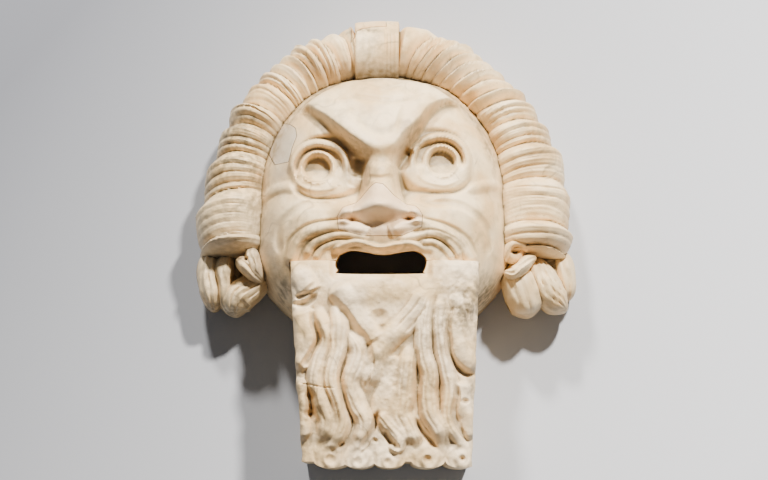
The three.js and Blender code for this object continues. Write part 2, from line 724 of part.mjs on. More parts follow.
// The mouth: straight below, waved above
function mouthCutter() {
  const waveTop = [
    [0.04, -0.16], [0.17, 0.04], [0.32, -0.02], [0.46, -0.13], [0.58, -0.13], [0.73, -0.02], [0.88, 0.02],
    [0.98, -0.22],
  ];
  const width = mouthRightX - mouthLeftX;
  const opening = mouthTopY - mouthBottomY;
  const outline = [
    ...waveTop.map(([x, y]) => [mouthLeftX + x * width, mouthTopY + y * opening]),
    [mouthRightX, mouthTopY - 0.5 * opening],
    [mouthRightX - 4, mouthBottomY + 3],
    [mouthRightX - 12, mouthBottomY],
    [mouthLeftX + 10, mouthBottomY],
    [mouthLeftX + 3, mouthBottomY + 5],
    [mouthLeftX, mouthTopY - 0.55 * opening],
  ].reverse();
  return prism(outline, 60, 300);
}

function hollowCutter() {
  const ball = new THREE.SphereGeometry(1, 18, 10).rotateX(Math.PI / 2);
  ball.scale(hollowHalfWidth, hollowHalfHeight, hollowDepth).translate(faceCentreX, hollowCentreY, 0);
  return solidOf(ball);
}

// Everything in front of the flat back
function inFront() {
  return solidOf(new THREE.BoxGeometry(900, 900, 400).translate(0, 0, 200));
}

const openings = hollowCutter().add(mouthCutter());
const stone = carvedStone().intersect(inFront()).subtract(openings);
const maskBody = stone
  .subtract(beardSeat(jointGap))
  .subtract(prism(noseOutline, noseSeatHeight, 300, jointGap))
  .subtract(prism(patchOutline, patchSeatHeight, 300, jointGap))
  .subtract(prism(capOutline, capSeatHeight, 300, jointGap));
const pieces = {
  mask_body: maskBody,
  beard_block: beardBlock().intersect(inFront()).subtract(openings),
  nose: stone.intersect(prism(noseOutline, noseSeatHeight, 300)),
  temple_patch: stone.intersect(prism(patchOutline, patchSeatHeight, 300)),
  topknot_cap: stone.intersect(prism(capOutline, capSeatHeight, 300)),
};

const finishes = {
  mask_body: { color: 0xe6dccb, roughness: 0.55 },
  beard_block: { color: 0xdccbb0, roughness: 0.7 },
  nose: { color: 0xeae1d8, roughness: 0.5 },
  temple_patch: { color: 0xc9c1b6, roughness: 0.6 },
  topknot_cap: { color: 0xe8d3b8, roughness: 0.6 },
};

function meshOf(name, solid) {
  const { vertProperties, triVerts } = solid.getMesh();
  const geometry = new THREE.BufferGeometry();
  geometry.setAttribute("position", new THREE.BufferAttribute(vertProperties, 3));
  geometry.setIndex(new THREE.BufferAttribute(triVerts, 1));
  geometry.computeVertexNormals();
  const mesh = new THREE.Mesh(geometry, new THREE.MeshStandardMaterial({ ...finishes[name], metalness: 0 }));
  mesh.name = name;
  return mesh;
}

const mask = new THREE.Group();
for (const [name, solid] of Object.entries(pieces)) mask.add(meshOf(name, solid));

export default mask;
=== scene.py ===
# A carved marble theatre mask, lying on its flat back on a pale floor.
# Lengths in the carving functions are millimetres; meshes are turned to metres when they are finished.
import math
import time

import bmesh
import bpy
import numpy as np
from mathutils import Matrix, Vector


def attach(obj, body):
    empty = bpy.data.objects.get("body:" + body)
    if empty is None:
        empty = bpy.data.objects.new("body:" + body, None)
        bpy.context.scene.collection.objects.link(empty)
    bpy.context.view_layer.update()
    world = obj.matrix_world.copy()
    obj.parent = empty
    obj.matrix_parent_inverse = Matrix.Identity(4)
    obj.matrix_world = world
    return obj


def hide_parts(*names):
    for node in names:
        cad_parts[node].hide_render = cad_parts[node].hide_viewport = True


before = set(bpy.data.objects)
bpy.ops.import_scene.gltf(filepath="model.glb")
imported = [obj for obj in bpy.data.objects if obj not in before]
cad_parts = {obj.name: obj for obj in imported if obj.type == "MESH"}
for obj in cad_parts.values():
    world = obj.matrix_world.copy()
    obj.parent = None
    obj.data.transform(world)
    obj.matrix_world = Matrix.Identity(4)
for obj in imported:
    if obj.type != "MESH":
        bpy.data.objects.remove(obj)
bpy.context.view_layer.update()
started = time.time()


def report(text):
    print(f"{time.time() - started:6.1f} s  {text}")


# Small curves shared by all the carving
def clamp01(value):
    return np.clip(value, 0.0, 1.0)


def smooth(low, high, value):
    t = clamp01((value - low) / (high - low))
    return t * t * (3 - 2 * t)


def mix(a, b, share):
    return a + (b - a) * share


def bump(x, y, centreX, centreY, spreadX, spreadY):
    return np.exp(-(((x - centreX) / spreadX) ** 2) - ((y - centreY) / spreadY) ** 2)


def ridge(distance):
    return np.clip(1 - distance * distance, 0, None) ** 1.5


def scatter(ix, iy, iz, seed):
    h = (ix * 374761393 + iy * 668265263 + iz * 2147483647 + seed * 1274126177) & 0xFFFFFFFF
    h = ((h ^ (h >> 13)) * 1274126177) & 0xFFFFFFFF
    return ((h ^ (h >> 16)) & 0xFFFF) / 32767.5 - 1


# Soft random undulation from -1 to 1, with lumps of about one size
def noise(x, y, z, size, seed=1):
    x, y, z = np.broadcast_arrays(x / size, y / size, np.asarray(z) / size)
    ix, iy, iz = (np.floor(v).astype(np.int64) for v in (x, y, z))
    fx, fy, fz = (v - i for v, i in ((x, ix), (y, iy), (z, iz)))
    fx, fy, fz = (f * f * (3 - 2 * f) for f in (fx, fy, fz))
    total = 0
    for dx in (0, 1):
        for dy in (0, 1):
            for dz in (0, 1):
                weight = (fx if dx else 1 - fx) * (fy if dy else 1 - fy) * (fz if dz else 1 - fz)
                total = total + weight * scatter(ix + dx, iy + dy, iz + dz, seed)
    return total


# A stroke of the chisel: a soft path with a width, and a height or depth that fades at its ends
def softPath(points, perSpan=8):
    p = np.array(points, float)
    padded = np.vstack([2 * p[0] - p[1], p, 2 * p[-1] - p[-2]])
    t = np.linspace(0, 1, perSpan, endpoint=False)[:, None]
    spans = []
    for i in range(len(p) - 1):
        a, b, c, d = padded[i : i + 4]
        square, cube = 2 * a - 5 * b + 4 * c - d, 3 * b - a - 3 * c + d
        spans.append(0.5 * (2 * b + (c - a) * t + square * t**2 + cube * t**3))
    return np.vstack(spans + [p[-1:]])


def stroke(x, y, points, width, rise, taper=0.15, round_=1.5):
    line = softPath(points)
    reach = width / 2
    low, high = line.min(0) - reach, line.max(0) + reach
    near = (x > low[0]) & (x < high[0]) & (y > low[1]) & (y < high[1])
    out = np.zeros(np.shape(x))
    if not near.any():
        return out
    px, py = x[near], y[near]
    nearest, along = np.full(px.shape, 1e9), np.zeros(px.shape)
    for i in range(len(line) - 1):
        run = line[i + 1] - line[i]
        t = clamp01(((px - line[i, 0]) * run[0] + (py - line[i, 1]) * run[1]) / (run @ run + 1e-9))
        away = np.hypot(px - line[i, 0] - run[0] * t, py - line[i, 1] - run[1] * t)
        closer = away < nearest
        nearest[closer] = away[closer]
        along[closer] = ((i + t) / (len(line) - 1))[closer]
    ends = smooth(0, taper, along) * smooth(0, taper, 1 - along)
    half = reach * (0.45 + 0.55 * ends)
    out[near] = rise * ends * np.clip(1 - (nearest / half) ** 2, 0, None) ** round_
    return out


# Making and joining bodies
def newObject(name, bm):
    mesh = bpy.data.meshes.new(name)
    bm.to_mesh(mesh)
    bm.free()
    body = bpy.data.objects.new(name, mesh)
    bpy.context.scene.collection.objects.link(body)
    return body


def corners(mesh):
    co = np.empty(len(mesh.vertices) * 3, np.float32)
    mesh.vertices.foreach_get("co", co)
    return co.reshape(-1, 3).astype(float)


def setCorners(mesh, co):
    mesh.vertices.foreach_set("co", np.ascontiguousarray(co, np.float32).ravel())
    mesh.update()


# How far a body runs on below the floor before it is cut level with it
floorMargin = 30


# A block whose front is a fine grid: place(column, row) gives x, y and z, from shares 0 to 1
def gridBody(name, columns, rows, place, back=-floorMargin):
    bm = bmesh.new()
    bmesh.ops.create_grid(bm, x_segments=columns, y_segments=rows, size=0.5)
    rim = [edge for edge in bm.edges if edge.is_boundary]
    fall = bmesh.ops.extrude_edge_only(bm, edges=rim)["geom"]
    for part in fall:
        if isinstance(part, bmesh.types.BMVert):
            part.co.z = -1
    low = [part for part in fall if isinstance(part, bmesh.types.BMEdge) and part.is_boundary]
    bmesh.ops.edgeloop_fill(bm, edges=low)
    bmesh.ops.recalc_face_normals(bm, faces=bm.faces)
    body = newObject(name, bm)
    co = corners(body.data)
    x, y, z = place(clamp01(co[:, 0] + 0.5), clamp01(co[:, 1] + 0.5))
    setCorners(body.data, np.stack([x, y, np.where(co[:, 2] < -0.5, back, z)], 1))
    return body


# A tube closed at both ends: place(turn, share) gives x, y and z, turn in radians, share from 0 to 1
def tubeBody(name, around, rings, place):
    bm = bmesh.new()
    bmesh.ops.create_grid(bm, x_segments=around, y_segments=rings, size=0.5)
    body = newObject(name, bm)
    co = corners(body.data)
    setCorners(body.data, np.stack(place(co[:, 0] * 2 * math.pi, clamp01(co[:, 1] + 0.5)), 1))
    bm = bmesh.new()
    bm.from_mesh(body.data)
    bmesh.ops.remove_doubles(bm, verts=bm.verts, dist=1e-3)
    bmesh.ops.holes_fill(bm, edges=[edge for edge in bm.edges if edge.is_boundary], sides=0)
    bmesh.ops.recalc_face_normals(bm, faces=bm.faces)
    bm.to_mesh(body.data)
    bm.free()
    return body


def combine(target, tool, operation, keepTool=False):
    step = target.modifiers.new("carve", "BOOLEAN")
    step.operation, step.object, step.solver = operation, tool, "MANIFOLD"
    bpy.context.view_layer.update()
    shaped = bpy.data.meshes.new_from_object(target.evaluated_get(bpy.context.evaluated_depsgraph_get()))
    target.modifiers.clear()
    old, target.data = target.data, shaped
    bpy.data.meshes.remove(old)
    if not keepTool:
        spent = tool.data
        bpy.data.objects.remove(tool)
        bpy.data.meshes.remove(spent)
    return target


def copyOf(body, name):
    twin = bpy.data.objects.new(name, body.data.copy())
    bpy.context.scene.collection.objects.link(twin)
    return twin


# A prism over a flat outline, pushed outward by a margin; a leaning one lies farther up at its foot
def prism(points, low, high, grow=0.0, lean=0.0):
    p = np.array(points, float)
    area = np.sum(p[:, 0] * np.roll(p[:, 1], -1) - np.roll(p[:, 0], -1) * p[:, 1])
    if area < 0:
        p = p[::-1]
    run = np.roll(p, -1, 0) - p
    out = np.stack([run[:, 1], -run[:, 0]], 1) / np.linalg.norm(run, axis=1)[:, None]
    before = np.roll(out, 1, 0)
    p = p + (out + before) * (grow / (1 + np.sum(out * before, 1)))[:, None]
    bm = bmesh.new()
    ring = [bm.verts.new((x, y + lean, low)) for x, y in p]
    face = bm.faces.new(ring)
    lifted = bmesh.ops.extrude_face_region(bm, geom=[face])["geom"]
    raised = [part for part in lifted if isinstance(part, bmesh.types.BMVert)]
    bmesh.ops.translate(bm, verts=raised, vec=(0, -2 * lean, high - low))
    bmesh.ops.recalc_face_normals(bm, faces=bm.faces)
    return newObject("cutter", bm)


# The face: an upright dome with a tapered jaw
face = {
    "centreX": -5, "archY": 70, "radius": 178, "rise": 184, "fullness": 3.4,
    "jawTop": -5, "jawBottom": -100, "jawTaper": 0.34, "muzzle": 12,
    "columns": 235, "rows": 246,
}


def dome(x, y):
    drop = clamp01((face["jawTop"] - y) / (face["jawTop"] - face["jawBottom"]))
    half = face["radius"] * (1 - face["jawTaper"] * drop * drop)
    radius = np.where(
        y > face["archY"],
        np.hypot(x - face["centreX"], y - face["archY"]) / face["radius"],
        np.abs(x - face["centreX"]) / half,
    )
    inside = np.minimum(1 - radius ** face["fullness"], 1 - drop**4)
    return np.where(inside > 0, face["rise"] * np.sqrt(np.clip(inside, 0, None)), -30)


# The lower edge of the brows, from the left temple to the right one; the right brow is the raised one
browLine = np.array([
    [-190, 136], [-146, 164], [-116, 167], [-88, 152], [-62, 127], [-44, 109], [-27, 96],
    [-6, 90], [13, 96], [27, 112], [46, 137], [60, 158], [80, 173], [106, 175], [130, 160],
    [145, 136], [180, 90],
], float)


def browY(x):
    px, py = browLine.T
    i = np.clip(np.searchsorted(px, x), 1, len(px) - 1)
    p0, p1, p2, p3 = (browLine[np.clip(i + k, 0, len(px) - 1)] for k in (-2, -1, 0, 1))
    run = p2[..., 0] - p1[..., 0]
    t = clamp01((x - p1[..., 0]) / run)
    startSlope = (p2[..., 1] - p0[..., 1]) / (p2[..., 0] - p0[..., 0])
    endSlope = (p3[..., 1] - p1[..., 1]) / (p3[..., 0] - p1[..., 0])
    return (
        (2 * t**3 - 3 * t**2 + 1) * p1[..., 1]
        + (t**3 - 2 * t**2 + t) * run * startSlope
        + (3 * t**2 - 2 * t**3) * p2[..., 1]
        + (t**3 - t**2) * run * endSlope
    )


# Each eye: a bowl for the pupil, a raised iris rim, a lid band above and a bag below
eyes = [
    {"x": -89, "y": 87, "height": 160, "outward": -1, "bagX": -77, "halfWidth": 48, "halfHeight": 42},
    {"x": 72, "y": 95, "height": 163, "outward": 1, "bagX": 66, "halfWidth": 48, "halfHeight": 43},
]
eyeSizes = {
    "pupil": 19, "pupilDepth": 13, "iris": 23, "rimRise": 2.5, "lidInner": 29, "lidOuter": 38, "lidRise": 7,
    "lidGroove": 5, "bagRise": 7, "bagDrop": 4.5, "turn": 0.16, "squareness": 2.6,
}


def eyeReach(eye, x, y):
    across = np.abs((x - eye["bagX"]) / eye["halfWidth"])
    up = np.abs((y - eye["y"]) / eye["halfHeight"])
    power = eyeSizes["squareness"]
    return (across**power + up**power) ** (1 / power)


def eyeHeight(eye, x, y):
    radius = np.hypot(x - eye["x"], y - eye["y"])
    upper = smooth(-0.4, 0.15, (y - eye["y"]) / np.maximum(radius, 1))
    inward = smooth(0.3, 1, -eye["outward"] * (x - eye["x"]) / np.maximum(radius, 1))
    z = eye["height"] - eyeSizes["turn"] * eye["outward"] * (x - eye["x"])
    pupil, iris = eyeSizes["pupil"], eyeSizes["iris"]
    wall = clamp01(6 * (1 - radius / pupil))
    z = z - eyeSizes["pupilDepth"] * wall * clamp01(1 + (y - eye["y"] + 1) / pupil)
    middle = (pupil + iris) / 2
    z += eyeSizes["rimRise"] * ridge(np.abs(radius - middle) / (iris - middle))
    inner, outer = eyeSizes["lidInner"] + 5 * inward, eyeSizes["lidOuter"] + 3 * inward
    lid = smooth(inner - 1.5, inner + 2.5, radius) * (1 - smooth(outer - 2, outer + 3, radius))
    groove = eyeSizes["lidGroove"] * smooth(iris, iris + 3, radius) * (1 - lid)
    z += upper * (eyeSizes["lidRise"] * lid - groove)
    reach = eyeReach(eye, x, y)
    drop = eyeSizes["bagDrop"] * smooth(0.84, 1, reach)
    z += (1 - upper) * (eyeSizes["bagRise"] * ridge(np.abs(reach - 0.7) / 0.42) - drop)
    return z


# The nose: a wedge that swells to its tip, with a bridge, two wings and drilled nostrils
nose = {
    "x": -7, "root": 110, "tip": 25, "foot": 11, "rise": 44, "rootHalf": 21, "half": 36, "bridgeY": 84,
    "bridgeRise": 10, "tipRise": 8, "wing": 43, "wingRise": 25, "nostrilDepth": 17,
}


def noseHeight(x, y):
    middle, tip, foot = nose["x"], nose["tip"], nose["foot"]
    down = clamp01((nose["root"] - y) / (nose["root"] - tip))
    underside = smooth(foot - 7, tip + 9, y)
    across = clamp01(np.abs(x - middle) / mix(nose["rootHalf"], nose["half"], down**2))
    z = nose["rise"] * down**1.2 * (1 - across * across) ** 0.85 * underside
    bridge = nose["bridgeRise"] * bump(x, y, middle, nose["bridgeY"], 24, 18)
    z += bridge + nose["tipRise"] * bump(x, y, middle, tip, 19, 13) * underside
    for side in (-1, 1):
        at = middle + side * nose["wing"]
        wing = bump(x, y, at, tip - 3, 13, 13) * smooth(foot - 6, tip - 13, y)
        nostril = bump(x, y, mix(at, middle, 0.14), tip - 9, 8, 4.5)
        z += nose["wingRise"] * wing - nose["nostrilDepth"] * nostril
    return z


# The mouth is cut from inside the hollow out through the front, and leans along the line of sight
mouth = {"left": -65, "right": 52, "top": -25, "bottom": -54, "cutFrom": 80, "lean": 13}
mouthMiddle, mouthHalf = (mouth["left"] + mouth["right"]) / 2, (mouth["right"] - mouth["left"]) / 2

# The cheeks and the lip under the nose swell softly: the rise, then the place and the reach
swellings = [(8, -112, 28, 34, 26), (8, 104, 28, 34, 26), (9, nose["x"], 2, 30, 11)]

# Everything below is carved by strokes: a path, its width and its height, or its depth below 0.
# First the folds of the cheeks and the hollows at the inner corners of the eyes
cheekFolds = [
    ([[-62, 35], [-101, 37], [-132, 19], [-140, -3], [-135, -26]], 15, -4),
    ([[42, 37], [92, 37], [124, 19], [134, -3], [130, -28]], 15, -4),
    ([[-32, 102], [-35, 88], [-41, 72]], 24, -11),
    ([[33, 112], [24, 97], [17, 82]], 18, -11),
]
browFurrow = [[-60, 186], [-30, 176], [0, 172], [30, 176], [60, 188]]
# The moustache: two waved bands on each side, and smaller curls inside them
moustache = [
    ([[-128, -40], [-121, -28], [-114, -12], [-97, 1], [-69, 6], [-40, 3], [-20, -6]], 19, 11),
    ([[116, -40], [107, -28], [93, -11], [71, 2], [46, 8], [20, 5], [0, -4]], 19, 11),
    ([[-104, -34], [-96, -18], [-80, -9], [-60, -4], [-38, -7], [-18, -12]], 13, 8),
    ([[98, -34], [88, -20], [74, -7], [54, -2], [32, -8], [12, -12]], 13, 8),
    ([[-92, -36], [-82, -22], [-64, -15], [-46, -14]], 10, 5),
    ([[86, -36], [76, -22], [60, -13], [42, -14]], 10, 5),
    ([[-52, -3], [-36, 2], [-20, -4]], 20, 6), ([[2, -3], [18, 2], [38, -3]], 20, 6),
]
upperLip = [[-70, -26], [-57, -18], [-39, -14], [-22, -18], [-8, -22], [12, -18], [33, -16], [50, -24]]

# Small carving of the face: creases of the nose and eyes, then the cheek tops, then cuts in the moustache
faceMarks = [
    ([[-30, 93], [-7, 87], [18, 95]], 13, -2.0), ([[-26, 70], [-7, 66], [12, 71]], 10, -2.2),
    ([[-118, 84], [-114, 71]], 4, -2.6), ([[-109, 87], [-106, 70]], 4, -2.2),
    ([[-119, 76], [-110, 64], [-92, 58], [-70, 59], [-54, 70]], 6, 1.8),
    ([[-116, 66], [-96, 53], [-68, 52]], 4, -1.2),
    ([[-44, 80], [-42, 70], [-46, 60]], 14, -4.0),
    ([[40, 84], [45, 73], [58, 66], [78, 64], [98, 73]], 6, 1.8),
    ([[38, 60], [60, 56], [84, 58], [102, 68]], 4, -1.2),
    ([[16, 78], [18, 90], [33, 114], [48, 127]], 12, -4.0),
    ([[88, 142], [97, 135], [106, 128]], 8, 2.4),
    ([[-170, 54], [-150, 62], [-130, 64], [-112, 56]], 18, 5.0),
    ([[100, 56], [120, 64], [136, 70], [156, 74]], 18, 5.0),
    ([[-118, -34], [-108, -14], [-90, -4], [-66, 0], [-42, -3]], 4, -1.4),
    ([[106, -34], [98, -16], [80, -4], [58, 2], [34, -2]], 4, -1.4),
    ([[-98, -34], [-88, -20], [-66, -10], [-40, -11]], 4, -1.8),
    ([[92, -34], [82, -20], [62, -8], [40, -11]], 4, -1.8),
    ([[-134, -30], [-124, -6], [-100, 11], [-70, 15], [-44, 12]], 7, -3),
    ([[122, -30], [104, -4], [76, 11], [48, 16], [30, 12]], 7, -3),
]
# The comb marks on the outer half of each brow: where each stands, and which way it leans
browTicks = [(x, -1) for x in range(-130, -96, 5)] + [(x, 1) for x in range(70, 147, 6)]


def browBristles(x, y):
    z = 3.0 * stroke(x, y, [[81, 184], [109, 180], [128, 164], [142, 139]], 11, 1.0)
    for at, lean in browTicks:
        foot = float(browY(np.float64(at))) + 1
        z += stroke(x, y, [[at, foot], [at + 3 * lean, foot + 10]], 3.6, -2.2, 0.2)
    return z


forehead = {
    "top": 213, "dip": 24, "dipHalf": 26, "level": 70, "fall": 0.0022, "rise": 13, "recess": 20,
    "recessFrom": 142, "recessTo": 151, "browRoll": 9,
}


# The forehead bulges, dips under the knot and sinks back where the hair stands over it
def foreheadHeight(x, y, aboveBrow):
    u = x - face["centreX"]
    dip = forehead["dip"] * np.exp(-((u / forehead["dipHalf"]) ** 2))
    top = forehead["top"] - dip - forehead["fall"] * np.maximum(0, np.abs(u) - forehead["level"]) ** 2
    under = smooth(forehead["recessFrom"], forehead["recessTo"], np.hypot(u, y - face["archY"]))
    recess = forehead["recess"] * under * smooth(96, 126, y)
    rise = forehead["rise"] * smooth(top + 9, top - 9, y) * mix(0.3, 1, smooth(178, 134, np.abs(u)))
    browRoll = forehead["browRoll"] * ridge(np.abs(aboveBrow - 16) / 24) * smooth(150, 40, np.abs(u))
    return rise - recess + browRoll


# The hollows under the brows: how deep, and how much deeper beside the nose
sockets = {"depth": 5, "innerDepth": 20, "innerX": 26, "innerHalf": 32}


# Everything under the brows and everything over them is carved apart, and the brow's edge joins the two
def faceHeight(x, y):
    skin = dome(x, y) + face["muzzle"] * bump(x, y, face["centreX"], -18, 82, 46)
    skin += sum(rise * bump(x, y, *place) for rise, *place in swellings)
    slope = (browY(x + 2) - browY(x - 2)) / 4
    aboveBrow = (y - browY(x)) / np.hypot(1, slope)
    innerX = np.abs(x - nose["x"])
    deeper = sockets["innerDepth"] * np.exp(-(((innerX - sockets["innerX"]) / sockets["innerHalf"]) ** 2))
    lower = skin - (sockets["depth"] + deeper) * smooth(9, 34, innerX) * smooth(26, 60, y)
    for eye in eyes:
        inside = 1 - smooth(0.94, 1.1, eyeReach(eye, x, y))
        lower = mix(lower, np.minimum(eyeHeight(eye, x, y), skin + 8), inside)
    lower += noseHeight(x, y)
    for points, width, rise in cheekFolds:
        lower += stroke(x, y, points, width, rise)
    # Bands that cross melt into each other: the powers add up, and the root is taken
    bands = stroke(x, y, upperLip, 12, 9, 0.1) ** 4
    for points, width, rise in moustache:
        bands += stroke(x, y, points, width, rise, 0.12, 1.0) ** 4
    lower += bands**0.25
    lower -= 7 * smooth(-21, -29, y) * smooth(70, 60, np.abs(x - mouthMiddle))
    for points, width, rise in faceMarks:
        lower += stroke(x, y, points, width, rise, 0.2)
    upper = skin + foreheadHeight(x, y, aboveBrow) + stroke(x, y, browFurrow, 13, -3, 0.2)
    # How far the brow's edge is rounded: more above the nose and toward both temples
    roundOver = mix(9, 19, np.exp(-((innerX / 38) ** 2)))
    roundOver = roundOver + 14 * smooth(-84, -128, x) + 9 * smooth(96, 150, x)
    z = mix(lower, upper, smooth(-3, roundOver, aboveBrow)) + browBristles(x, y)
    return z + 0.5 * noise(x, y, 0, 16, 3) + 0.25 * noise(x, y, 0, 5, 4)


# The grid is closer around the eyes, nose and mouth: shares of the grid, then the places they reach.
# Between the bend heights its rows follow the brows.
faceAcross = ([0, 0.22, 0.78, 1], [-187, -95, 85, 177])
faceUp = ([0, 0.13, 0.52, 1], [-104, -44, 58, 252])
bendLow, bendMiddle, bendHigh = 30, 130, 214


def facePlace(column, row):
    x = np.interp(column, *faceAcross)
    flat = np.interp(row, *faceUp)
    brow = browY(x)
    y = np.where(
        (flat > bendLow) & (flat <= bendMiddle),
        mix(bendLow, brow, (flat - bendLow) / (bendMiddle - bendLow)),
        flat,
    )
    y = np.where(
        (flat > bendMiddle) & (flat < bendHigh),
        mix(brow, bendHigh, (flat - bendMiddle) / (bendHigh - bendMiddle)),
        y,
    )
    return x, y, faceHeight(x, y)


# The hair roll runs up one side, over the crown and down the other
hair = {
    "inner": 152, "crown": 80, "left": 101, "right": 106, "bottomY": -18, "middle": 46, "crest": 72,
    "below": 105, "proud": 16, "edgeStep": 0.55, "edgeGroove": 0.4, "endPinch": 8, "rings": 620, "around": 80,
}
# Its strands: how far they slant and arch across the roll, how much they wander and drift together, and how
# deep the cuts between them and the finer cuts on them are
strands = {
    "slantLeft": 6, "slantRight": 24, "arch": 9, "wander": 2.2, "drift": 0.42, "cut": 2.7, "fineCut": 0.7,
}
knot = {
    "start": -44, "end": 20, "proud": 17, "overhang": 11, "reach": 4, "middle": -13, "half": 33, "edgeCut": 3,
}
# Grooves along the knot: the place across and the depth
knotGrooves = [(-24, 1.0), (0, 2.0), (5, 1.6), (10, 1.8), (15, 1.4)]
outerRadius = hair["inner"] + hair["crown"]
quarter = math.pi / 2 * outerRadius
rollLength = quarter + face["archY"] - hair["bottomY"]
# Each side lists its tiers from the knot down: where each ends along the outer edge, how many strands it
# has, and how deep they are cut
leftTiers = [
    (0.12, 2, 1.6), (0.18, 1, 1.0), (0.235, 3, 1.6), (0.285, 3, 1.8), (0.325, 1, 1.0), (0.365, 1, 1.0),
    (0.41, 3, 2.0), (0.5, 2, 1.8), (0.57, 3, 1.6), (0.675, 4, 1.8), (0.808, 5, 1.6), (0.942, 5, 1.5),
    (1, 3, 1.4),
]
rightTiers = [
    (0.119, 1, 1.2), (0.16, 3, 1.4), (0.2, 3, 1.4), (0.245, 2, 1.2), (0.285, 1, 1.0), (0.33, 3, 1.4),
    (0.38, 2, 1.4), (0.43, 1, 1.0), (0.475, 1, 1.0), (0.56, 4, 2.0), (0.647, 4, 1.8), (0.768, 3, 1.8),
    (0.9, 4, 1.4), (0.97, 2, 1.4), (1, 1, 1.4),
]


def tierField(share, tiers, start):
    ends = np.array([start] + [tier[0] for tier in tiers])
    i = np.clip(np.searchsorted(ends, share) - 1, 0, len(tiers) - 1)
    fraction = clamp01((share - ends[i]) / (ends[i + 1] - ends[i]))
    count = np.array([tier[1] for tier in tiers])[i]
    depth = np.array([tier[2] for tier in tiers])[i]
    return i, fraction, count, depth


# A cosine or sine drawn out, which makes a round section fuller
def swell(value):
    return np.sign(value) * np.abs(value) ** 0.85


# How far each tier stands out, as a share of the full height, and the grooves that make its strands.
# A tier rises quickly at its upper end and sinks slowly toward the next one.
def tierRelief(distance, turn, side, knotHalf):
    outward = np.cos(turn)
    slant = mix(strands["slantRight"], 0, smooth(0.35, 0.75, distance / rollLength))
    slant = np.where(side > 0, slant, strands["slantLeft"])
    wander = strands["wander"] * noise(distance, turn * 20, side * 50, 30, 5)
    arch = (slant * outward + strands["arch"] * outward**2) * smooth(knotHalf, knotHalf + 40, distance)
    place = (distance - arch + wander) / rollLength
    start = knotHalf / rollLength
    lift, groove = np.zeros(distance.shape), np.zeros(distance.shape)
    for sign, tiers in ((-1, leftTiers), (1, rightTiers)):
        mask = side == sign
        i, fraction, count, depth = tierField(place[mask], tiers, start[mask][0])
        proud = 1 + 0.3 * scatter(i, i * 0 + 3, i * 0, 12)
        decay = np.where(i == len(tiers) - 1, 0.3, 0.95)
        lift[mask] = proud * smooth(0, 0.3, fraction) * (1 - decay * fraction**1.6)
        drift = strands["drift"] * noise(distance[mask], turn[mask] * 18, i * 31.0, 26, 15)
        worn = clamp01(0.62 + 0.8 * noise(distance[mask], turn[mask] * 26, i * 17.0, 30, 21))
        strand = fraction * count + drift * smooth(0, 0.3, fraction)
        cut = np.abs(np.sin(math.pi * strand)) ** 0.75 - 0.6
        fine = np.abs(np.sin(math.pi * (fraction * count * 3 + 2.2 * drift))) ** 0.8 - 0.6
        groove[mask] = depth * (cut * strands["cut"] * worn + fine * strands["fineCut"])
    return lift, groove


def rollPlace(turn, share):
    signed = (share * 2 - 1) * rollLength
    side = np.where(signed < 0, -1.0, 1.0)
    distance = np.abs(signed)
    knotHalf = np.where(side < 0, face["centreX"] - knot["start"], knot["end"] - face["centreX"])
    inKnot = 1 - smooth(knotHalf - 3, knotHalf, distance)
    lift, groove = tierRelief(distance, turn, side, knotHalf)
    # The roll widens on its way down, sooner on the right
    widenFrom, widenTo = np.where(side < 0, 0.74, 0.5) * quarter, np.where(side < 0, 1.19, 1.14) * quarter
    widen = smooth(widenFrom, widenTo, distance)
    width = mix(hair["crown"], np.where(side < 0, hair["left"], hair["right"]), widen)
    rise = hair["proud"] * lift * (1 - inKnot) + knot["proud"] * inKnot
    groove = groove * (1 - inKnot)
    stepped = (rise - hair["proud"]) * hair["edgeStep"] + groove * hair["edgeGroove"]
    edge = mix(stepped, knot["reach"], inKnot)
    alongTop = face["centreX"] + signed
    for at, depth in knotGrooves:
        groove -= depth * inKnot * np.exp(-(((alongTop - at) / 1.5) ** 2))
    groove -= knot["edgeCut"] * inKnot * smooth(7, 0, alongTop - knot["start"])
    rounding = 1 - 0.6 * ((alongTop - knot["middle"]) / knot["half"]) ** 2
    inner = hair["inner"] - knot["overhang"] * inKnot * rounding
    # Both lower ends of the roll close
    ending = clamp01((distance / rollLength - 0.95) / 0.05) ** 2
    outer = hair["inner"] + width + edge - hair["endPinch"] * ending
    radius = (inner + outer) / 2 + (outer - inner) / 2 * swell(np.cos(turn))
    closing = 1 - 0.7 * ending
    sine = np.sin(turn)
    height = np.where(sine > 0, (hair["crest"] + rise + groove) * closing, hair["below"])
    z = hair["middle"] + height * swell(sine)
    angle = np.minimum(distance / outerRadius, math.pi / 2)
    angle = mix(angle, np.arcsin(np.minimum(1, distance / radius)), inKnot)
    beyond = np.maximum(0, distance - quarter)
    x = face["centreX"] + side * radius * np.sin(angle)
    y = face["archY"] + radius * np.cos(angle) - beyond
    return x, y, z + 0.7 * noise(x, y, z, 9, 6) + 0.35 * noise(x, y, z, 3.5, 16)


# A lock of hair: a soft tapered roll along a path, with strands cut along it. The path is measured from
# the side of the face and the end of the hair roll.
def lockOf(side, thick, strands, half, *path):
    return {"side": side, "thick": thick, "strands": strands, "half": half, "path": path}


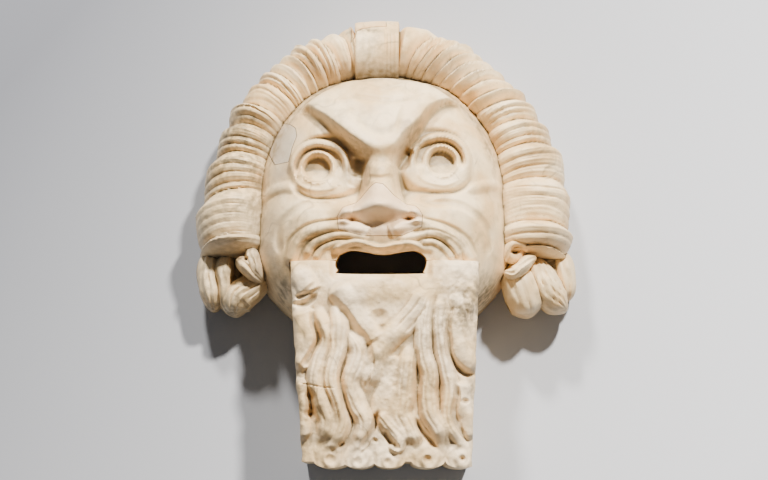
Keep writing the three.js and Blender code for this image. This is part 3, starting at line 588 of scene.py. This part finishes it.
sideLocks = [
    lockOf(-1, 34, 3, [40, 40, 34, 22], [13, 32, 26], [21, -2, 26], [25, -28, 24], [25, -48, 20]),
    lockOf(-1, 34, 4, [17, 18, 18, 12], [52, 14, 42], [54, -16, 48], [50, -44, 48], [48, -70, 38]),
    lockOf(-1, 36, 2, [14, 14, 12, 8], [28, 10, 46], [34, -16, 54], [31, -42, 52], [36, -68, 38]),
    lockOf(
        -1, 40, 5, [13, 20, 23, 20, 11],
        [-33, -20, 50], [-4, -39, 58], [13, -51, 58], [19, -65, 50], [19, -77, 40],
    ),
    lockOf(1, 34, 3, [40, 42, 34, 22], [33, 32, 26], [37, -2, 26], [43, -28, 24], [47, -44, 20]),
    lockOf(
        1, 40, 4, [16, 24, 26, 23, 12],
        [3, -2, 50], [4, -26, 60], [11, -49, 60], [17, -66, 52], [21, -78, 42],
    ),
    lockOf(
        1, 38, 5, [17, 21, 23, 20, 9],
        [25, 4, 48], [33, -22, 56], [44, -43, 54], [57, -58, 46], [71, -69, 38],
    ),
    lockOf(1, 30, 2, [18, 16, 14, 10], [62, 12, 36], [67, -14, 36], [71, -36, 32], [73, -54, 24]),
]
# The ears and the ribbons over them are thinner rolls of the same kind
earThickness = 30
ears = [
    lockOf(-1, 24, 2, [9, 11, 11, 7], [15, -3, 84], [3, -13, 94], [-9, -25, 93], [-20, -35, 82]),
    lockOf(-1, 24, 2, [8, 10, 10, 6], [-4, 14, 80], [-6, -2, 95], [-11, -19, 96], [-20, -34, 84]),
    lockOf(1, 20, 0, [10, 15, 13], [-3, 18, 78], [-2, 6, 82], [-5, -10, 80]),
    lockOf(1, 20, 1, [6, 7, 7, 6], [-15, -8, 84], [-10, 10, 92], [3, 15, 95], [17, 5, 92]),
    lockOf(
        1, 22, 2, [6, 9, 9, 9, 6],
        [27, -1, 84], [14, -8, 95], [5, -18, 99], [-6, -24, 95], [-17, -21, 84],
    ),
]
# Drilled pits in the ears: place and radius
earPits = [(171, -12, 6.5), (-184, -24, 4)]


def lockBody(lock):
    side = lock["side"]
    path = np.array(lock["path"], float)
    path = path * [side, 1, 1] + [face["centreX"] + side * face["radius"], hair["bottomY"], 0]
    line = softPath(path, 12)
    at = np.linspace(0, 1, len(line))
    tangents = np.gradient(line, axis=0)
    tangents /= np.linalg.norm(tangents[:, :2], axis=1)[:, None]

    def place(turn, even):
        share = 0.5 - 0.5 * np.cos(math.pi * mix(0.03, 0.97, even))
        centre = [np.interp(share, at, line[:, k]) for k in range(3)]
        tx, ty = (np.interp(share, at, tangents[:, k]) for k in range(2))
        half = np.interp(share, np.linspace(0, 1, len(lock["half"])), lock["half"])
        full = np.sqrt(1 - np.abs(2 * share - 1) ** 4)
        across = np.cos(turn)
        cut = 0
        if lock["strands"]:
            drift = 0.3 * noise(share * 60, across * 20, path[0, 0], 16, 7)
            phase = (across * 0.5 + 0.5) * lock["strands"] + drift
            cut = (1 - np.abs(np.sin(math.pi * phase)) ** 0.7) * 4.2
            cut = cut + (1 - np.abs(np.sin(2.5 * math.pi * phase)) ** 0.7) * 1.3
            cut = cut * np.clip(np.sin(turn), 0, 1) ** 0.5
        bulge = 1 + 0.05 * noise(share * 60, turn * 6, path[0, 1], 18, 14)
        x = centre[0] - ty * half * full * across * bulge
        y = centre[1] + tx * half * full * across * bulge
        z = centre[2] + (lock["thick"] * np.sin(turn) * bulge - cut) * full
        if lock["thick"] < earThickness:
            for pitX, pitY, pitSize in earPits:
                z = z - 16 * ridge(np.hypot(x - pitX, y - pitY) / pitSize) * np.clip(np.sin(turn), 0, 1)
        return x, y, z + 0.6 * noise(x, y, z, 8, 7)

    fine = (56, 50) if lock["strands"] else (40, 36)
    return tubeBody("lock", *fine, place)


# The beard: a block cut square, with waved locks, a chin tuft and curled ends
beard = {
    "top": -36, "bottom": -290, "topHalf": 122, "bottomHalf": 109, "x": -2, "lean": 3, "rise": 192,
    "belly": 12, "edgeDrop": 13, "edgeLip": 6, "lockDepth": 12, "lockSpread": 1.08, "lockRise": 1.4,
    "wander": 2.4, "curlRise": 7, "curlHang": 8, "columns": 205, "rows": 215,
}
chin = {"x": -7, "y": -84, "halfWidth": 52, "halfHeight": 44}
# The waved locks, the side lobes and the bands of the chin: the path of each crest, its width, its height
# and whether strands are cut along it. The chin's bands meet under the dimple; the right one runs on.
locks = [
    ([
        [-86, -92], [-79, -121], [-74, -138], [-83, -166], [-87, -188], [-80, -219], [-75, -243],
        [-88, -270],
    ], 25, 11, True),
    ([
        [-66, -86], [-58, -118], [-60, -142], [-66, -166], [-69, -188], [-62, -213], [-57, -234],
        [-62, -252], [-80, -274],
    ], 23, 11, True),
    ([
        [-50, -122], [-34, -148], [-37, -172], [-45, -194], [-37, -216], [-28, -237], [-30, -254],
        [-46, -276],
    ], 25, 10, True),
    ([[6, -150], [4, -176], [2, -200], [-2, -222], [-6, -240]], 32, 6, False),
    ([[28, -140], [26, -181], [23, -207], [18, -230], [28, -250], [36, -272]], 25, 9, True),
    ([[-12, -226], [4, -244], [17, -260], [12, -278]], 20, 10, True),
    ([
        [60, -70], [51, -100], [46, -128], [48, -156], [56, -180], [53, -206], [54, -228], [68, -248],
        [74, -272],
    ], 24, 11, True),
    ([
        [74, -76], [70, -100], [68, -124], [72, -147], [77, -172], [81, -200], [77, -226], [84, -247],
        [100, -268],
    ], 22, 11, True),
    ([[-108, -94], [-102, -124], [-104, -148], [-116, -174]], 34, 9, False),
    ([[-112, -182], [-106, -212], [-108, -240], [-104, -266]], 22, 8, False),
    ([[102, -78], [90, -106], [92, -134], [102, -156], [118, -172]], 34, 9, False),
    ([[98, -186], [94, -212], [106, -240], [108, -262]], 26, 8, False),
    ([[-120, -48], [-104, -60], [-96, -78]], 30, 6, False),
    ([[-64, -65], [-50, -86], [-38, -106], [-23, -127], [-10, -146]], 32, 10, False),
    ([
        [56, -66], [42, -90], [32, -104], [16, -123], [-2, -141], [-12, -158], [-19, -178], [-27, -208],
    ], 30, 11, False),
]
# The strands of a lock: how far each cut is from the crest, as a share of the width, its width and depth
lockCuts = [(-0.18, 4.5, -1.8), (0.2, 4.0, -1.5)]
# The channels between the locks, finer cuts beside them, and last the crack at the lower left
channels = [
    ([[-94, -88], [-90, -122], [-87, -142], [-98, -162], [-114, -178]], 12, -8),
    ([[-50, -138], [-54, -166], [-56, -190], [-52, -213], [-47, -236], [-52, -262]], 12, -6),
    ([[-67, -80], [-51, -106], [-38, -129], [-26, -147], [-22, -162], [-24, -176], [-33, -198]], 16, -7),
    ([[-8, -222], [-14, -240], [-22, -256], [-38, -274]], 10, -8),
    ([[-4, -246], [7, -260], [20, -276]], 9, -8),
    ([[36, -232], [43, -248], [55, -260], [70, -274]], 10, -9),
    ([[42, -132], [38, -156], [39, -176], [43, -196], [39, -220], [40, -244]], 9, -5),
    ([[78, -112], [79, -136], [85, -162], [98, -176], [120, -182]], 12, -8),
    ([[84, -184], [88, -206], [84, -226], [90, -246], [106, -266]], 11, -9),
    ([[60, -110], [60, -134], [64, -156], [67, -182], [65, -210], [68, -236]], 8, -3),
    ([[-96, -196], [-94, -218], [-97, -242]], 17, -10), ([[-118, -84], [-104, -79], [-88, -62]], 9, -4),
    ([[-122, -91], [-101, -90], [-86, -76]], 10, -6), ([[48, -84], [30, -106], [10, -127]], 4, -2.2),
    ([[54, -94], [38, -114], [18, -135]], 4, -2.2), ([[38, -76], [24, -96], [8, -117]], 3.5, -1.4),
    ([[-77, -104], [-69, -128], [-74, -158], [-78, -188], [-71, -216], [-67, -240]], 5, -3),
    ([[-86, -110], [-82, -132], [-88, -160]], 4, -1.6), ([[-84, -190], [-86, -212], [-82, -238]], 4, -1.8),
    ([[86, -92], [80, -112], [82, -130]], 5, -3), ([[100, -92], [104, -118], [110, -144]], 5, -2.5),
    ([[94, -110], [100, -136], [110, -156]], 4, -2.0), ([[56, -84], [48, -108], [44, -128]], 4, -2),
    ([[-14, -160], [-18, -180], [-26, -202]], 4, -3.5), ([[-115, -190], [-94, -194], [-55, -202]], 2.2, -1.8),
]
# Soft dimples and drilled holes of the beard: place, radius and depth
drillHoles = [
    (-8, -109, 13, 6), (-70, -281, 8, 4), (-36, -284, 7, 3), (2, -284, 6, 3), (52, -281, 7, 6),
    (96, -280, 5, 7), (100, -214, 6, 7), (-98, -230, 7, 7), (-56, -266, 5, 6), (-14, -262, 5, 5),
]
# The curled ends: place and radius
curls = [(-70, -280, 18), (-34, -281, 17), (4, -283, 17), (53, -281, 18), (96, -279, 18)]
# Where the surface is rougher: the strength, then the place and the reach
roughZones = [(1.4, 98, -95, 34, 40), (1.0, 10, -200, 40, 50), (1.2, -108, -220, 20, 40)]


def beardDown(y):
    return clamp01((beard["top"] - y) / (beard["top"] - beard["bottom"]))


def beardHalfAt(y):
    return mix(beard["topHalf"], beard["bottomHalf"], beardDown(y))


def beardMiddleAt(y):
    return beard["x"] + beard["lean"] * beardDown(y)


def beardHeight(x, y):
    down = (beard["top"] - y) / (beard["top"] - beard["bottom"])
    across = np.abs(x - beardMiddleAt(y)) / beardHalfAt(y)
    z = beard["rise"] + beard["belly"] * np.sin(math.pi * clamp01(down * 1.1) ** 0.8)
    z = z - beard["edgeDrop"] * across**3
    z -= beard["lockDepth"] * smooth(-66, -108, y) + beard["edgeLip"] * clamp01((across - 0.93) / 0.07) ** 2
    fromChin = np.hypot((x - chin["x"]) / chin["halfWidth"], (y - chin["y"]) / chin["halfHeight"])
    mound = smooth(1.15, 0.55, fromChin)
    driftX = x + beard["wander"] * noise(x, y, 0, 22, 11)
    driftY = y + beard["wander"] * noise(x, y, 5, 22, 12)
    # The locks melt into each other as the moustache does, and the channels are cut after them
    total = (beard["lockDepth"] * mound) ** 4
    for points, width, rise, _ in locks:
        uneven = 1 + 0.22 * noise(x, y, rise * 7 + width, 30, 17)
        wide, tall = width * beard["lockSpread"], beard["lockRise"] * rise
        total += (stroke(driftX, driftY, points, wide, tall, 0.12, 0.8) * uneven) ** 4
    z += total**0.25
    for points, width, rise in channels:
        z += stroke(driftX, driftY, points, width, rise, 0.25, 1.1)
    for points, width, _, stranded in locks:
        for aside, cutWidth, depth in lockCuts if stranded else []:
            moved = [[px + aside * width, py] for px, py in points]
            z += stroke(driftX, driftY, moved, cutWidth, depth, 0.25, 1.0)
    for curlX, curlY, size in curls:
        radius = np.hypot(x - curlX, y - curlY) / size
        turn = np.arctan2(y - curlY, x - curlX)
        spiral = np.cos(2 * math.pi * (radius * 1.5) - turn)
        z += beard["curlRise"] * ridge(radius * 0.85)
        z += 1.0 * spiral * smooth(1.1, 0.7, radius) * smooth(0.15, 0.4, radius)
    for holeX, holeY, size, depth in drillHoles:
        z -= depth * ridge(np.hypot(x - holeX, (y - holeY) * 1.3) / size)
    # The top edge is worn down, more so along the mouth
    besideMouth = np.maximum(0, np.abs(x - mouthMiddle) - mouthHalf)
    fromMouth = np.hypot(besideMouth, np.maximum(0, mouth["bottom"] - y))
    z -= 3 * smooth(beard["top"] - 7, beard["top"], y) + 8 * smooth(9, 0, fromMouth)
    rough = 1
    for strength, *zone in roughZones:
        rough = rough + strength * bump(x, y, *zone)
    tooling = 0.9 * noise(x, y, 0, 12, 8) + 0.45 * noise(x, y, 0, 5, 9) + 0.2 * noise(x, y, 0, 2.2, 10)
    return z + rough * tooling


# The side edges are a little broken, and the lower edge hangs down in the curls
def beardPlace(column, row):
    y = mix(beard["bottom"], beard["top"], row)
    broken = 1.4 * (1 + noise(column * 4, y, 0, 14, 23)) * smooth(0.8, 1, np.abs(2 * column - 1))
    x = beardMiddleAt(y) + (2 * column - 1) * (beardHalfAt(y) - broken)
    hang = 0
    for curlX, _, size in curls:
        away = (x - curlX) / (size * 1.15)
        hang = np.maximum(hang, np.sqrt(np.clip(1 - away * away, 0, None)))
    lowered = y - beard["curlHang"] * hang * (1 - row) ** 6
    return x, lowered, beardHeight(x, y)


# A box that holds all that is above the floor, which cuts the stone's back flat
frontSide, frontHeight = 900, 400


def frontBox():
    bm = bmesh.new()
    bmesh.ops.create_cube(bm, size=1)
    bmesh.ops.scale(bm, verts=bm.verts, vec=(frontSide, frontSide, frontHeight))
    bmesh.ops.translate(bm, verts=bm.verts, vec=(0, 0, frontHeight / 2))
    return newObject("front", bm)


# The waved upper edge of the mouth, in shares of its width and height from the upper left corner
waveTopLip = [
    (0.04, -0.16), (0.17, 0.04), (0.32, -0.02), (0.46, -0.13), (0.58, -0.13), (0.73, -0.02), (0.88, 0.02),
    (0.98, -0.22),
]
cutterTop = 300


def mouthCutter():
    width, opening = mouth["right"] - mouth["left"], mouth["top"] - mouth["bottom"]
    outline = [(mouth["left"] + x * width, mouth["top"] + y * opening) for x, y in waveTopLip]
    outline += [
        (mouth["right"], mouth["top"] - 0.5 * opening), (mouth["right"] - 4, mouth["bottom"] + 3),
        (mouth["right"] - 12, mouth["bottom"]), (mouth["left"] + 10, mouth["bottom"]),
        (mouth["left"] + 3, mouth["bottom"] + 5), (mouth["left"], mouth["top"] - 0.55 * opening),
    ]
    closed = outline + outline[:1]
    return prism(softPath(closed, 5)[:-1], mouth["cutFrom"], cutterTop, lean=mouth["lean"])


# The hollow behind the face is half an egg
hollow = {"halfWidth": 122, "halfHeight": 132, "depth": 128, "middleY": 22}


def hollowCutter():
    bm = bmesh.new()
    bmesh.ops.create_uvsphere(bm, u_segments=72, v_segments=40, radius=1)
    size = (hollow["halfWidth"], hollow["halfHeight"], hollow["depth"])
    bmesh.ops.scale(bm, verts=bm.verts, vec=size)
    bmesh.ops.translate(bm, verts=bm.verts, vec=(face["centreX"], hollow["middleY"], 0))
    return newObject("hollow", bm)


# The inset pieces: each has an outline and a seat, the height at which it rests in the stone
jointGap = 0.7
noseOutline = [
    (-19, 56), (-13, 60), (-4, 58), (9, 45), (24, 37), (38, 31), (46, 20), (45, 5), (20, -6), (-32, -6),
    (-60, 2), (-62, 18), (-55, 29), (-36, 40),
]
patchOutline = [
    (-136, 158), (-127, 153), (-119, 145), (-117, 133), (-123, 116), (-127, 98), (-146, 98), (-155, 116),
    (-148, 138),
]
capOutline = [(-46, 264), (-41, 270), (-39, 278), (-32, 282), (-20, 285), (0, 286), (0, 330), (-46, 330)]
insets = {"nose": (noseOutline, 176), "temple_patch": (patchOutline, 97), "topknot_cap": (capOutline, 78)}
beardFoot, beardEnd = beard["x"] + beard["lean"], beard["bottom"] - 20
beardSeat = [
    (beard["x"] - beard["topHalf"], beard["top"]), (beardFoot - beard["bottomHalf"], beardEnd),
    (beardFoot + beard["bottomHalf"], beardEnd), (beard["x"] + beard["topHalf"], beard["top"]),
]

report("carving starts")
stone = gridBody("carved_body", face["columns"], face["rows"], facePlace)
roll = tubeBody("roll", hair["around"], hair["rings"], rollPlace)
for piece in [roll] + [lockBody(lock) for lock in sideLocks + ears]:
    combine(stone, piece, "UNION")
report(f"stone joined, {len(stone.data.polygons)} faces")

front = frontBox()
openings = combine(hollowCutter(), mouthCutter(), "UNION")
combine(stone, front, "INTERSECT", keepTool=True)
combine(stone, openings, "DIFFERENCE", keepTool=True)

beardBlock = gridBody("carved_beard", beard["columns"], beard["rows"], beardPlace)
combine(beardBlock, front, "INTERSECT")
combine(beardBlock, openings, "DIFFERENCE")

pieces = {"beard_block": beardBlock}
for name, (outline, seat) in insets.items():
    pieces[name] = combine(copyOf(stone, f"carved_{name}"), prism(outline, seat, cutterTop), "INTERSECT")
combine(stone, prism(beardSeat, -floorMargin, cutterTop, jointGap), "DIFFERENCE")
for outline, seat in insets.values():
    combine(stone, prism(outline, seat - jointGap, cutterTop, jointGap), "DIFFERENCE")
pieces["mask_body"] = stone
report("joints and openings cut")


# How far each place lies in a hollow (above 0) or on a crest (below 0), from the mesh smoothed around it
def hollowness(mesh, co, normals, rounds):
    edges = np.empty(len(mesh.edges) * 2, np.int32)
    mesh.edges.foreach_get("vertices", edges)
    a, b = edges.reshape(-1, 2).T
    count = np.maximum(np.bincount(a, minlength=len(co)) + np.bincount(b, minlength=len(co)), 1)[:, None]
    moved = co.copy()
    for _ in range(rounds):
        total = np.stack([
            np.bincount(a, moved[b, k], len(co)) + np.bincount(b, moved[a, k], len(co)) for k in range(3)
        ], 1)
        moved = mix(moved, total / count, 0.7)
    return np.sum((moved - co) * normals, 1)


# Weathering and painted shade by place: x, y, the reach across and along, and the strength
# The stains in the eye sockets and under the brows are painted shade; the others are the stone's own
paintedShadeAndStains = [
    (95, -92, 34, 46, 0.9), (-192, 152, 24, 22, 0.8), (-235, -88, 22, 12, 0.9), (-202, -94, 18, 12, 0.7),
    (-22, 279, 34, 5, 0.9), (-136, -64, 12, 26, 0.6), (132, -76, 18, 24, 0.8), (-6, -165, 34, 26, 0.6),
    (-5, -282, 120, 18, 0.45), (-92, -8, 34, 16, 0.9), (84, -10, 30, 14, 0.8), (-114, -180, 12, 60, 0.7),
    (110, -200, 10, 60, 0.5), (-15, 235, 34, 34, 0.6), (206, 150, 30, 40, 0.45), (-60, 150, 34, 12, 0.3),
    (-20, -18, 60, 8, 0.5), (-40, 92, 12, 18, 0.5), (24, 96, 9, 20, 0.5), (-52, 112, 26, 12, 0.35),
    (40, 122, 14, 24, 0.5), (-205, 60, 44, 90, 0.5), (-190, 130, 40, 50, 0.6), (-210, -60, 50, 40, 0.45),
    (60, 132, 24, 14, 0.35), (60, -150, 30, 40, 0.35), (226, -80, 30, 16, 0.5), (-76, -250, 40, 22, 0.5),
    (-100, -60, 24, 22, 0.4), (-10, 84, 24, 18, 0.4), (-170, 40, 10, 60, 0.4),
]
# Greys, mostly painted shade: under the hair, around the eyes and on the face's sides turned from the light
greys = [
    (-5, 226, 120, 14, 0.8), (-136, 84, 20, 18, 0.7), (-222, -8, 46, 24, 0.5), (-158, -10, 20, 70, 0.8),
    (150, 10, 14, 70, 0.3), (-38, 90, 18, 22, 0.9), (-132, 130, 24, 30, 0.7), (26, 98, 10, 20, 0.4),
]


# How strong the stains, greys and painted shade are at each place
def paintedShadeAndWeathering(x, y, zones):
    wander = 1 + 0.35 * noise(x, y, 0, 22, 21) + 0.25 * noise(x, y, 0, 9, 22)
    return sum(strength * bump(x, y, *place) for *place, strength in zones) * wander


def finishPiece(body):
    mesh = body.data
    mesh.update()
    co = corners(mesh)
    normals = np.empty(len(co) * 3, np.float32)
    mesh.vertex_normals.foreach_get("vector", normals)
    normals = normals.reshape(-1, 3)
    for name, rounds in (("fine", 8), ("broad", 55)):
        layer = mesh.attributes.new(name, "FLOAT", "POINT")
        layer.data.foreach_set("value", hollowness(mesh, co, normals, rounds).astype(np.float32))
    # Painted shade lies in the groove between the forehead and the hair, in the stain and grey layers
    around = np.hypot(co[:, 0] - face["centreX"], co[:, 1] - face["archY"])
    groove = np.exp(-(((around - forehead["recessTo"]) / 6) ** 2)) * smooth(70, 120, co[:, 1])
    # The stain layer and the grey layer each hold the stone's own colour together with painted shade
    for name, zones, extra in (("paintedShadeAndStain", paintedShadeAndStains, 0.9 * groove), ("grey", greys, 0.5 * groove)):
        layer = mesh.attributes.new(name, "FLOAT", "POINT")
        strength = clamp01(paintedShadeAndWeathering(co[:, 0], co[:, 1], zones) + extra)
        layer.data.foreach_set("value", strength.astype(np.float32))
    setCorners(mesh, co * 0.001)
    mesh.shade_smooth()
    mesh.set_sharp_from_angle(angle=math.radians(50))
    return body


def linear(text):
    parts = [int(text[i : i + 2], 16) / 255 for i in (0, 2, 4)]
    return tuple(v / 12.92 if v <= 0.04045 else ((v + 0.055) / 1.055) ** 2.4 for v in parts) + (1,)


# Hand-carved marble, worn by weather: a cream stone with a soft, dull shine, ochre in its hollows, dirt and
# painted shade near black in its deepest cuts, and painted shade in the eye sockets, under the brows and
# hair.
# Every piece shares one recipe, and the colours tell the stones apart.
looks = {
    "mask_body": {"pale": "fee3b4", "warm": "e9c48c", "ochre": "8e7c5c", "darkTone": "4c4234", "rough": 0.5},
    "beard_block": {"pale": "ffe6be", "warm": "e9c792", "ochre": "88775a", "darkTone": "463d30", "rough": 0.58},
    "nose": {"pale": "ffe6c2", "warm": "efcda2", "ochre": "c9ab84", "darkTone": "6a5238", "rough": 0.48},
    "temple_patch": {"pale": "dccbb4", "warm": "c8b698", "ochre": "9c8a6c", "darkTone": "605140", "rough": 0.52},
    "topknot_cap": {"pale": "f2d4a4", "warm": "e0b57c", "ochre": "a0733d", "darkTone": "5d4122", "rough": 0.52},
}


def addNode(tree, kind, settings=None, **inputs):
    node = tree.nodes.new(kind)
    for key, value in (settings or {}).items():
        setattr(node, key, value)
    for key, value in inputs.items():
        socket = node.inputs[int(key[1:])] if key[0] == "i" and key[1:].isdigit() else node.inputs[key]
        if isinstance(value, bpy.types.NodeSocket):
            tree.links.new(value, socket)
        else:
            socket.default_value = value
    return node


def stoneMaterial(name, look):
    material = bpy.data.materials.new(f"{name}, hand-carved and weathered marble")
    material.use_nodes = True
    tree = material.node_tree
    tree.nodes.clear()
    place = addNode(tree, "ShaderNodeTexCoord").outputs["Object"]
    grey = linear("aba396")
    pale, warm, ochre, darkTone = (linear(look[shade]) for shade in ("pale", "warm", "ochre", "darkTone"))

    # A cloud of patches of about one size in millimetres
    def cloud(size, detail=3.0):
        scale = 1 / (size * 0.001)
        return addNode(tree, "ShaderNodeTexNoise", Vector=place, Scale=scale, Detail=detail).outputs["Fac"]

    def span(value, low, high):
        return addNode(tree, "ShaderNodeMapRange", i0=value, i1=low, i2=high, i3=0.0, i4=1.0).outputs[0]

    def times(a, b):
        settings = {"operation": "MULTIPLY", "use_clamp": True}
        return addNode(tree, "ShaderNodeMath", settings, i0=a, i1=b).outputs[0]

    def blend(share, a, b):
        return addNode(tree, "ShaderNodeMix", {"data_type": "RGBA"}, i0=share, i6=a, i7=b).outputs[2]

    def recess(layer):
        return addNode(tree, "ShaderNodeAttribute", {"attribute_name": layer}).outputs["Fac"]

    # Warmer stone lies in areas of 60 mm, stains and the painted shade among them break up into spots of 9
    # mm, and the ochre of broad hollows into patches of 25 mm
    colour = blend(span(cloud(60), 0.4, 0.6), pale, warm)
    # The greys, mostly painted shade, are laid on next
    colour = blend(times(recess("grey"), 0.7), colour, grey)
    mottle = span(cloud(9, 4.0), 0.3, 0.62)
    colour = blend(times(recess("paintedShadeAndStain"), mottle), colour, ochre)
    hollows = times(span(recess("broad"), 0.1, 4.0), span(cloud(25), 0.15, 0.55))
    colour = blend(hollows, colour, ochre)
    colour = blend(times(span(recess("fine"), 0.2, 3.4), 0.65), colour, ochre)
    # The deepest cuts are darkened near black, partly dirt and partly painted shade
    colour = blend(times(span(recess("fine"), 1.8, 6.0), 0.8), colour, darkTone)
    colour = blend(times(span(cloud(18, 5.0), 0.5, 0.72), 0.3), colour, ochre)
    # Thin veins follow one level of a wide, slow cloud
    course = cloud(110, 2.5)
    vein = times(span(course, 0.478, 0.49), span(course, 0.502, 0.49))
    colour = blend(times(vein, times(span(cloud(40), 0.4, 0.7), 0.5)), colour, darkTone)
    speck = span(cloud(5, 2.0), 0.66, 0.76)
    colour = blend(times(speck, 0.35), colour, ochre)
    # The crystals of marble are under 1 mm, so they are drawn at 1.6 mm to show, over 7 mm tool marks
    grain = addNode(tree, "ShaderNodeMath", {"operation": "ADD"}, i0=cloud(1.6, 4.0), i1=cloud(7, 3.0))
    relief = addNode(
        tree, "ShaderNodeBump", Strength=0.35, Distance=0.0012, Height=grain.outputs[0]
    ).outputs[0]
    inputs = {"Base Color": colour, "Roughness": look["rough"], "Normal": relief}
    shader = addNode(tree, "ShaderNodeBsdfPrincipled", **inputs)
    addNode(tree, "ShaderNodeOutputMaterial", Surface=shader.outputs[0])
    return material


for name, body in pieces.items():
    finishPiece(body)
    body.data.materials.clear()
    body.data.materials.append(stoneMaterial(name, looks[name]))
    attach(body, "root")
    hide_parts(name)
    triangles = sum(len(side.vertices) - 2 for side in body.data.polygons)
    report(f"{name} finished, {triangles} triangles")


# The floor, the lights and the camera
bm = bmesh.new()
bmesh.ops.create_grid(bm, x_segments=1, y_segments=1, size=6)
floor = newObject("floor", bm)
# Matt paint spreads the light and shows no shine. Its colour is painted paler toward the lower right:
# painted light, as if the lamps fell brighter there.
floorMaterial = bpy.data.materials.new("pale grey floor, matt paint")
floorMaterial.use_nodes = True
paintTree = floorMaterial.node_tree
shader = paintTree.nodes["Principled BSDF"]
shader.inputs["Roughness"].default_value = 0.8
where = addNode(paintTree, "ShaderNodeTexCoord").outputs["Object"]
lowerRight = addNode(
    paintTree, "ShaderNodeVectorMath", {"operation": "DOT_PRODUCT"}, i0=where, i1=(0.75, -0.65, 0)
).outputs["Value"]
share = addNode(paintTree, "ShaderNodeMapRange", i0=lowerRight, i1=-0.55, i2=0.55).outputs[0]
shades = {"i6": linear("74777f"), "i7": linear("dcdfe6")}
# The mix is painted light: dark at the upper left, pale at the lower right
paint = addNode(paintTree, "ShaderNodeMix", {"data_type": "RGBA"}, i0=share, **shades).outputs[2]
paintTree.links.new(paint, shader.inputs["Base Color"])
floor.data.materials.append(floorMaterial)


lampDistance = 3


# A round lamp: its direction from the part, power in watts, diameter in metres and colour
def areaLight(name, direction, power, size, colour):
    lamp = bpy.data.objects.new(name, bpy.data.lights.new(name, "AREA"))
    lamp.data.shape, lamp.data.size, lamp.data.energy, lamp.data.color = "DISK", size, power, colour
    toward = Vector(direction).normalized()
    lamp.location = Vector((0, 0, 0.1)) + toward * lampDistance
    lamp.rotation_mode = "QUATERNION"
    lamp.rotation_quaternion = toward.to_track_quat("Z", "Y")
    bpy.context.scene.collection.objects.link(lamp)


areaLight("left spot", (-0.3, 1.3, 1.0), 135, 0.3, (1.0, 0.96, 0.9))
areaLight("right spot", (0.38, 0.74, 1.0), 230, 0.22, (1.0, 0.95, 0.88))
world = bpy.data.worlds.new("gallery")
world.use_nodes = True
background = world.node_tree.nodes["Background"].inputs
background["Color"].default_value = (0.95, 0.97, 1.0, 1)
background["Strength"].default_value = 0.16
bpy.context.scene.world = world

view = {"tilt": math.radians(8), "distance": 2.4, "lens": 85.1, "sensor": 36, "aim": (-0.0026, 0.002, 0.1)}
back = Vector((0, -math.sin(view["tilt"]), math.cos(view["tilt"])))
camera = bpy.data.objects.new("camera", bpy.data.cameras.new("camera"))
camera.data.lens, camera.data.sensor_width = view["lens"], view["sensor"]
camera.location = Vector(view["aim"]) + back * view["distance"]
camera.rotation_euler = (view["tilt"], 0, 0)
bpy.context.scene.collection.objects.link(camera)
bpy.context.scene.camera = camera

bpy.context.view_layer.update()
report("done")
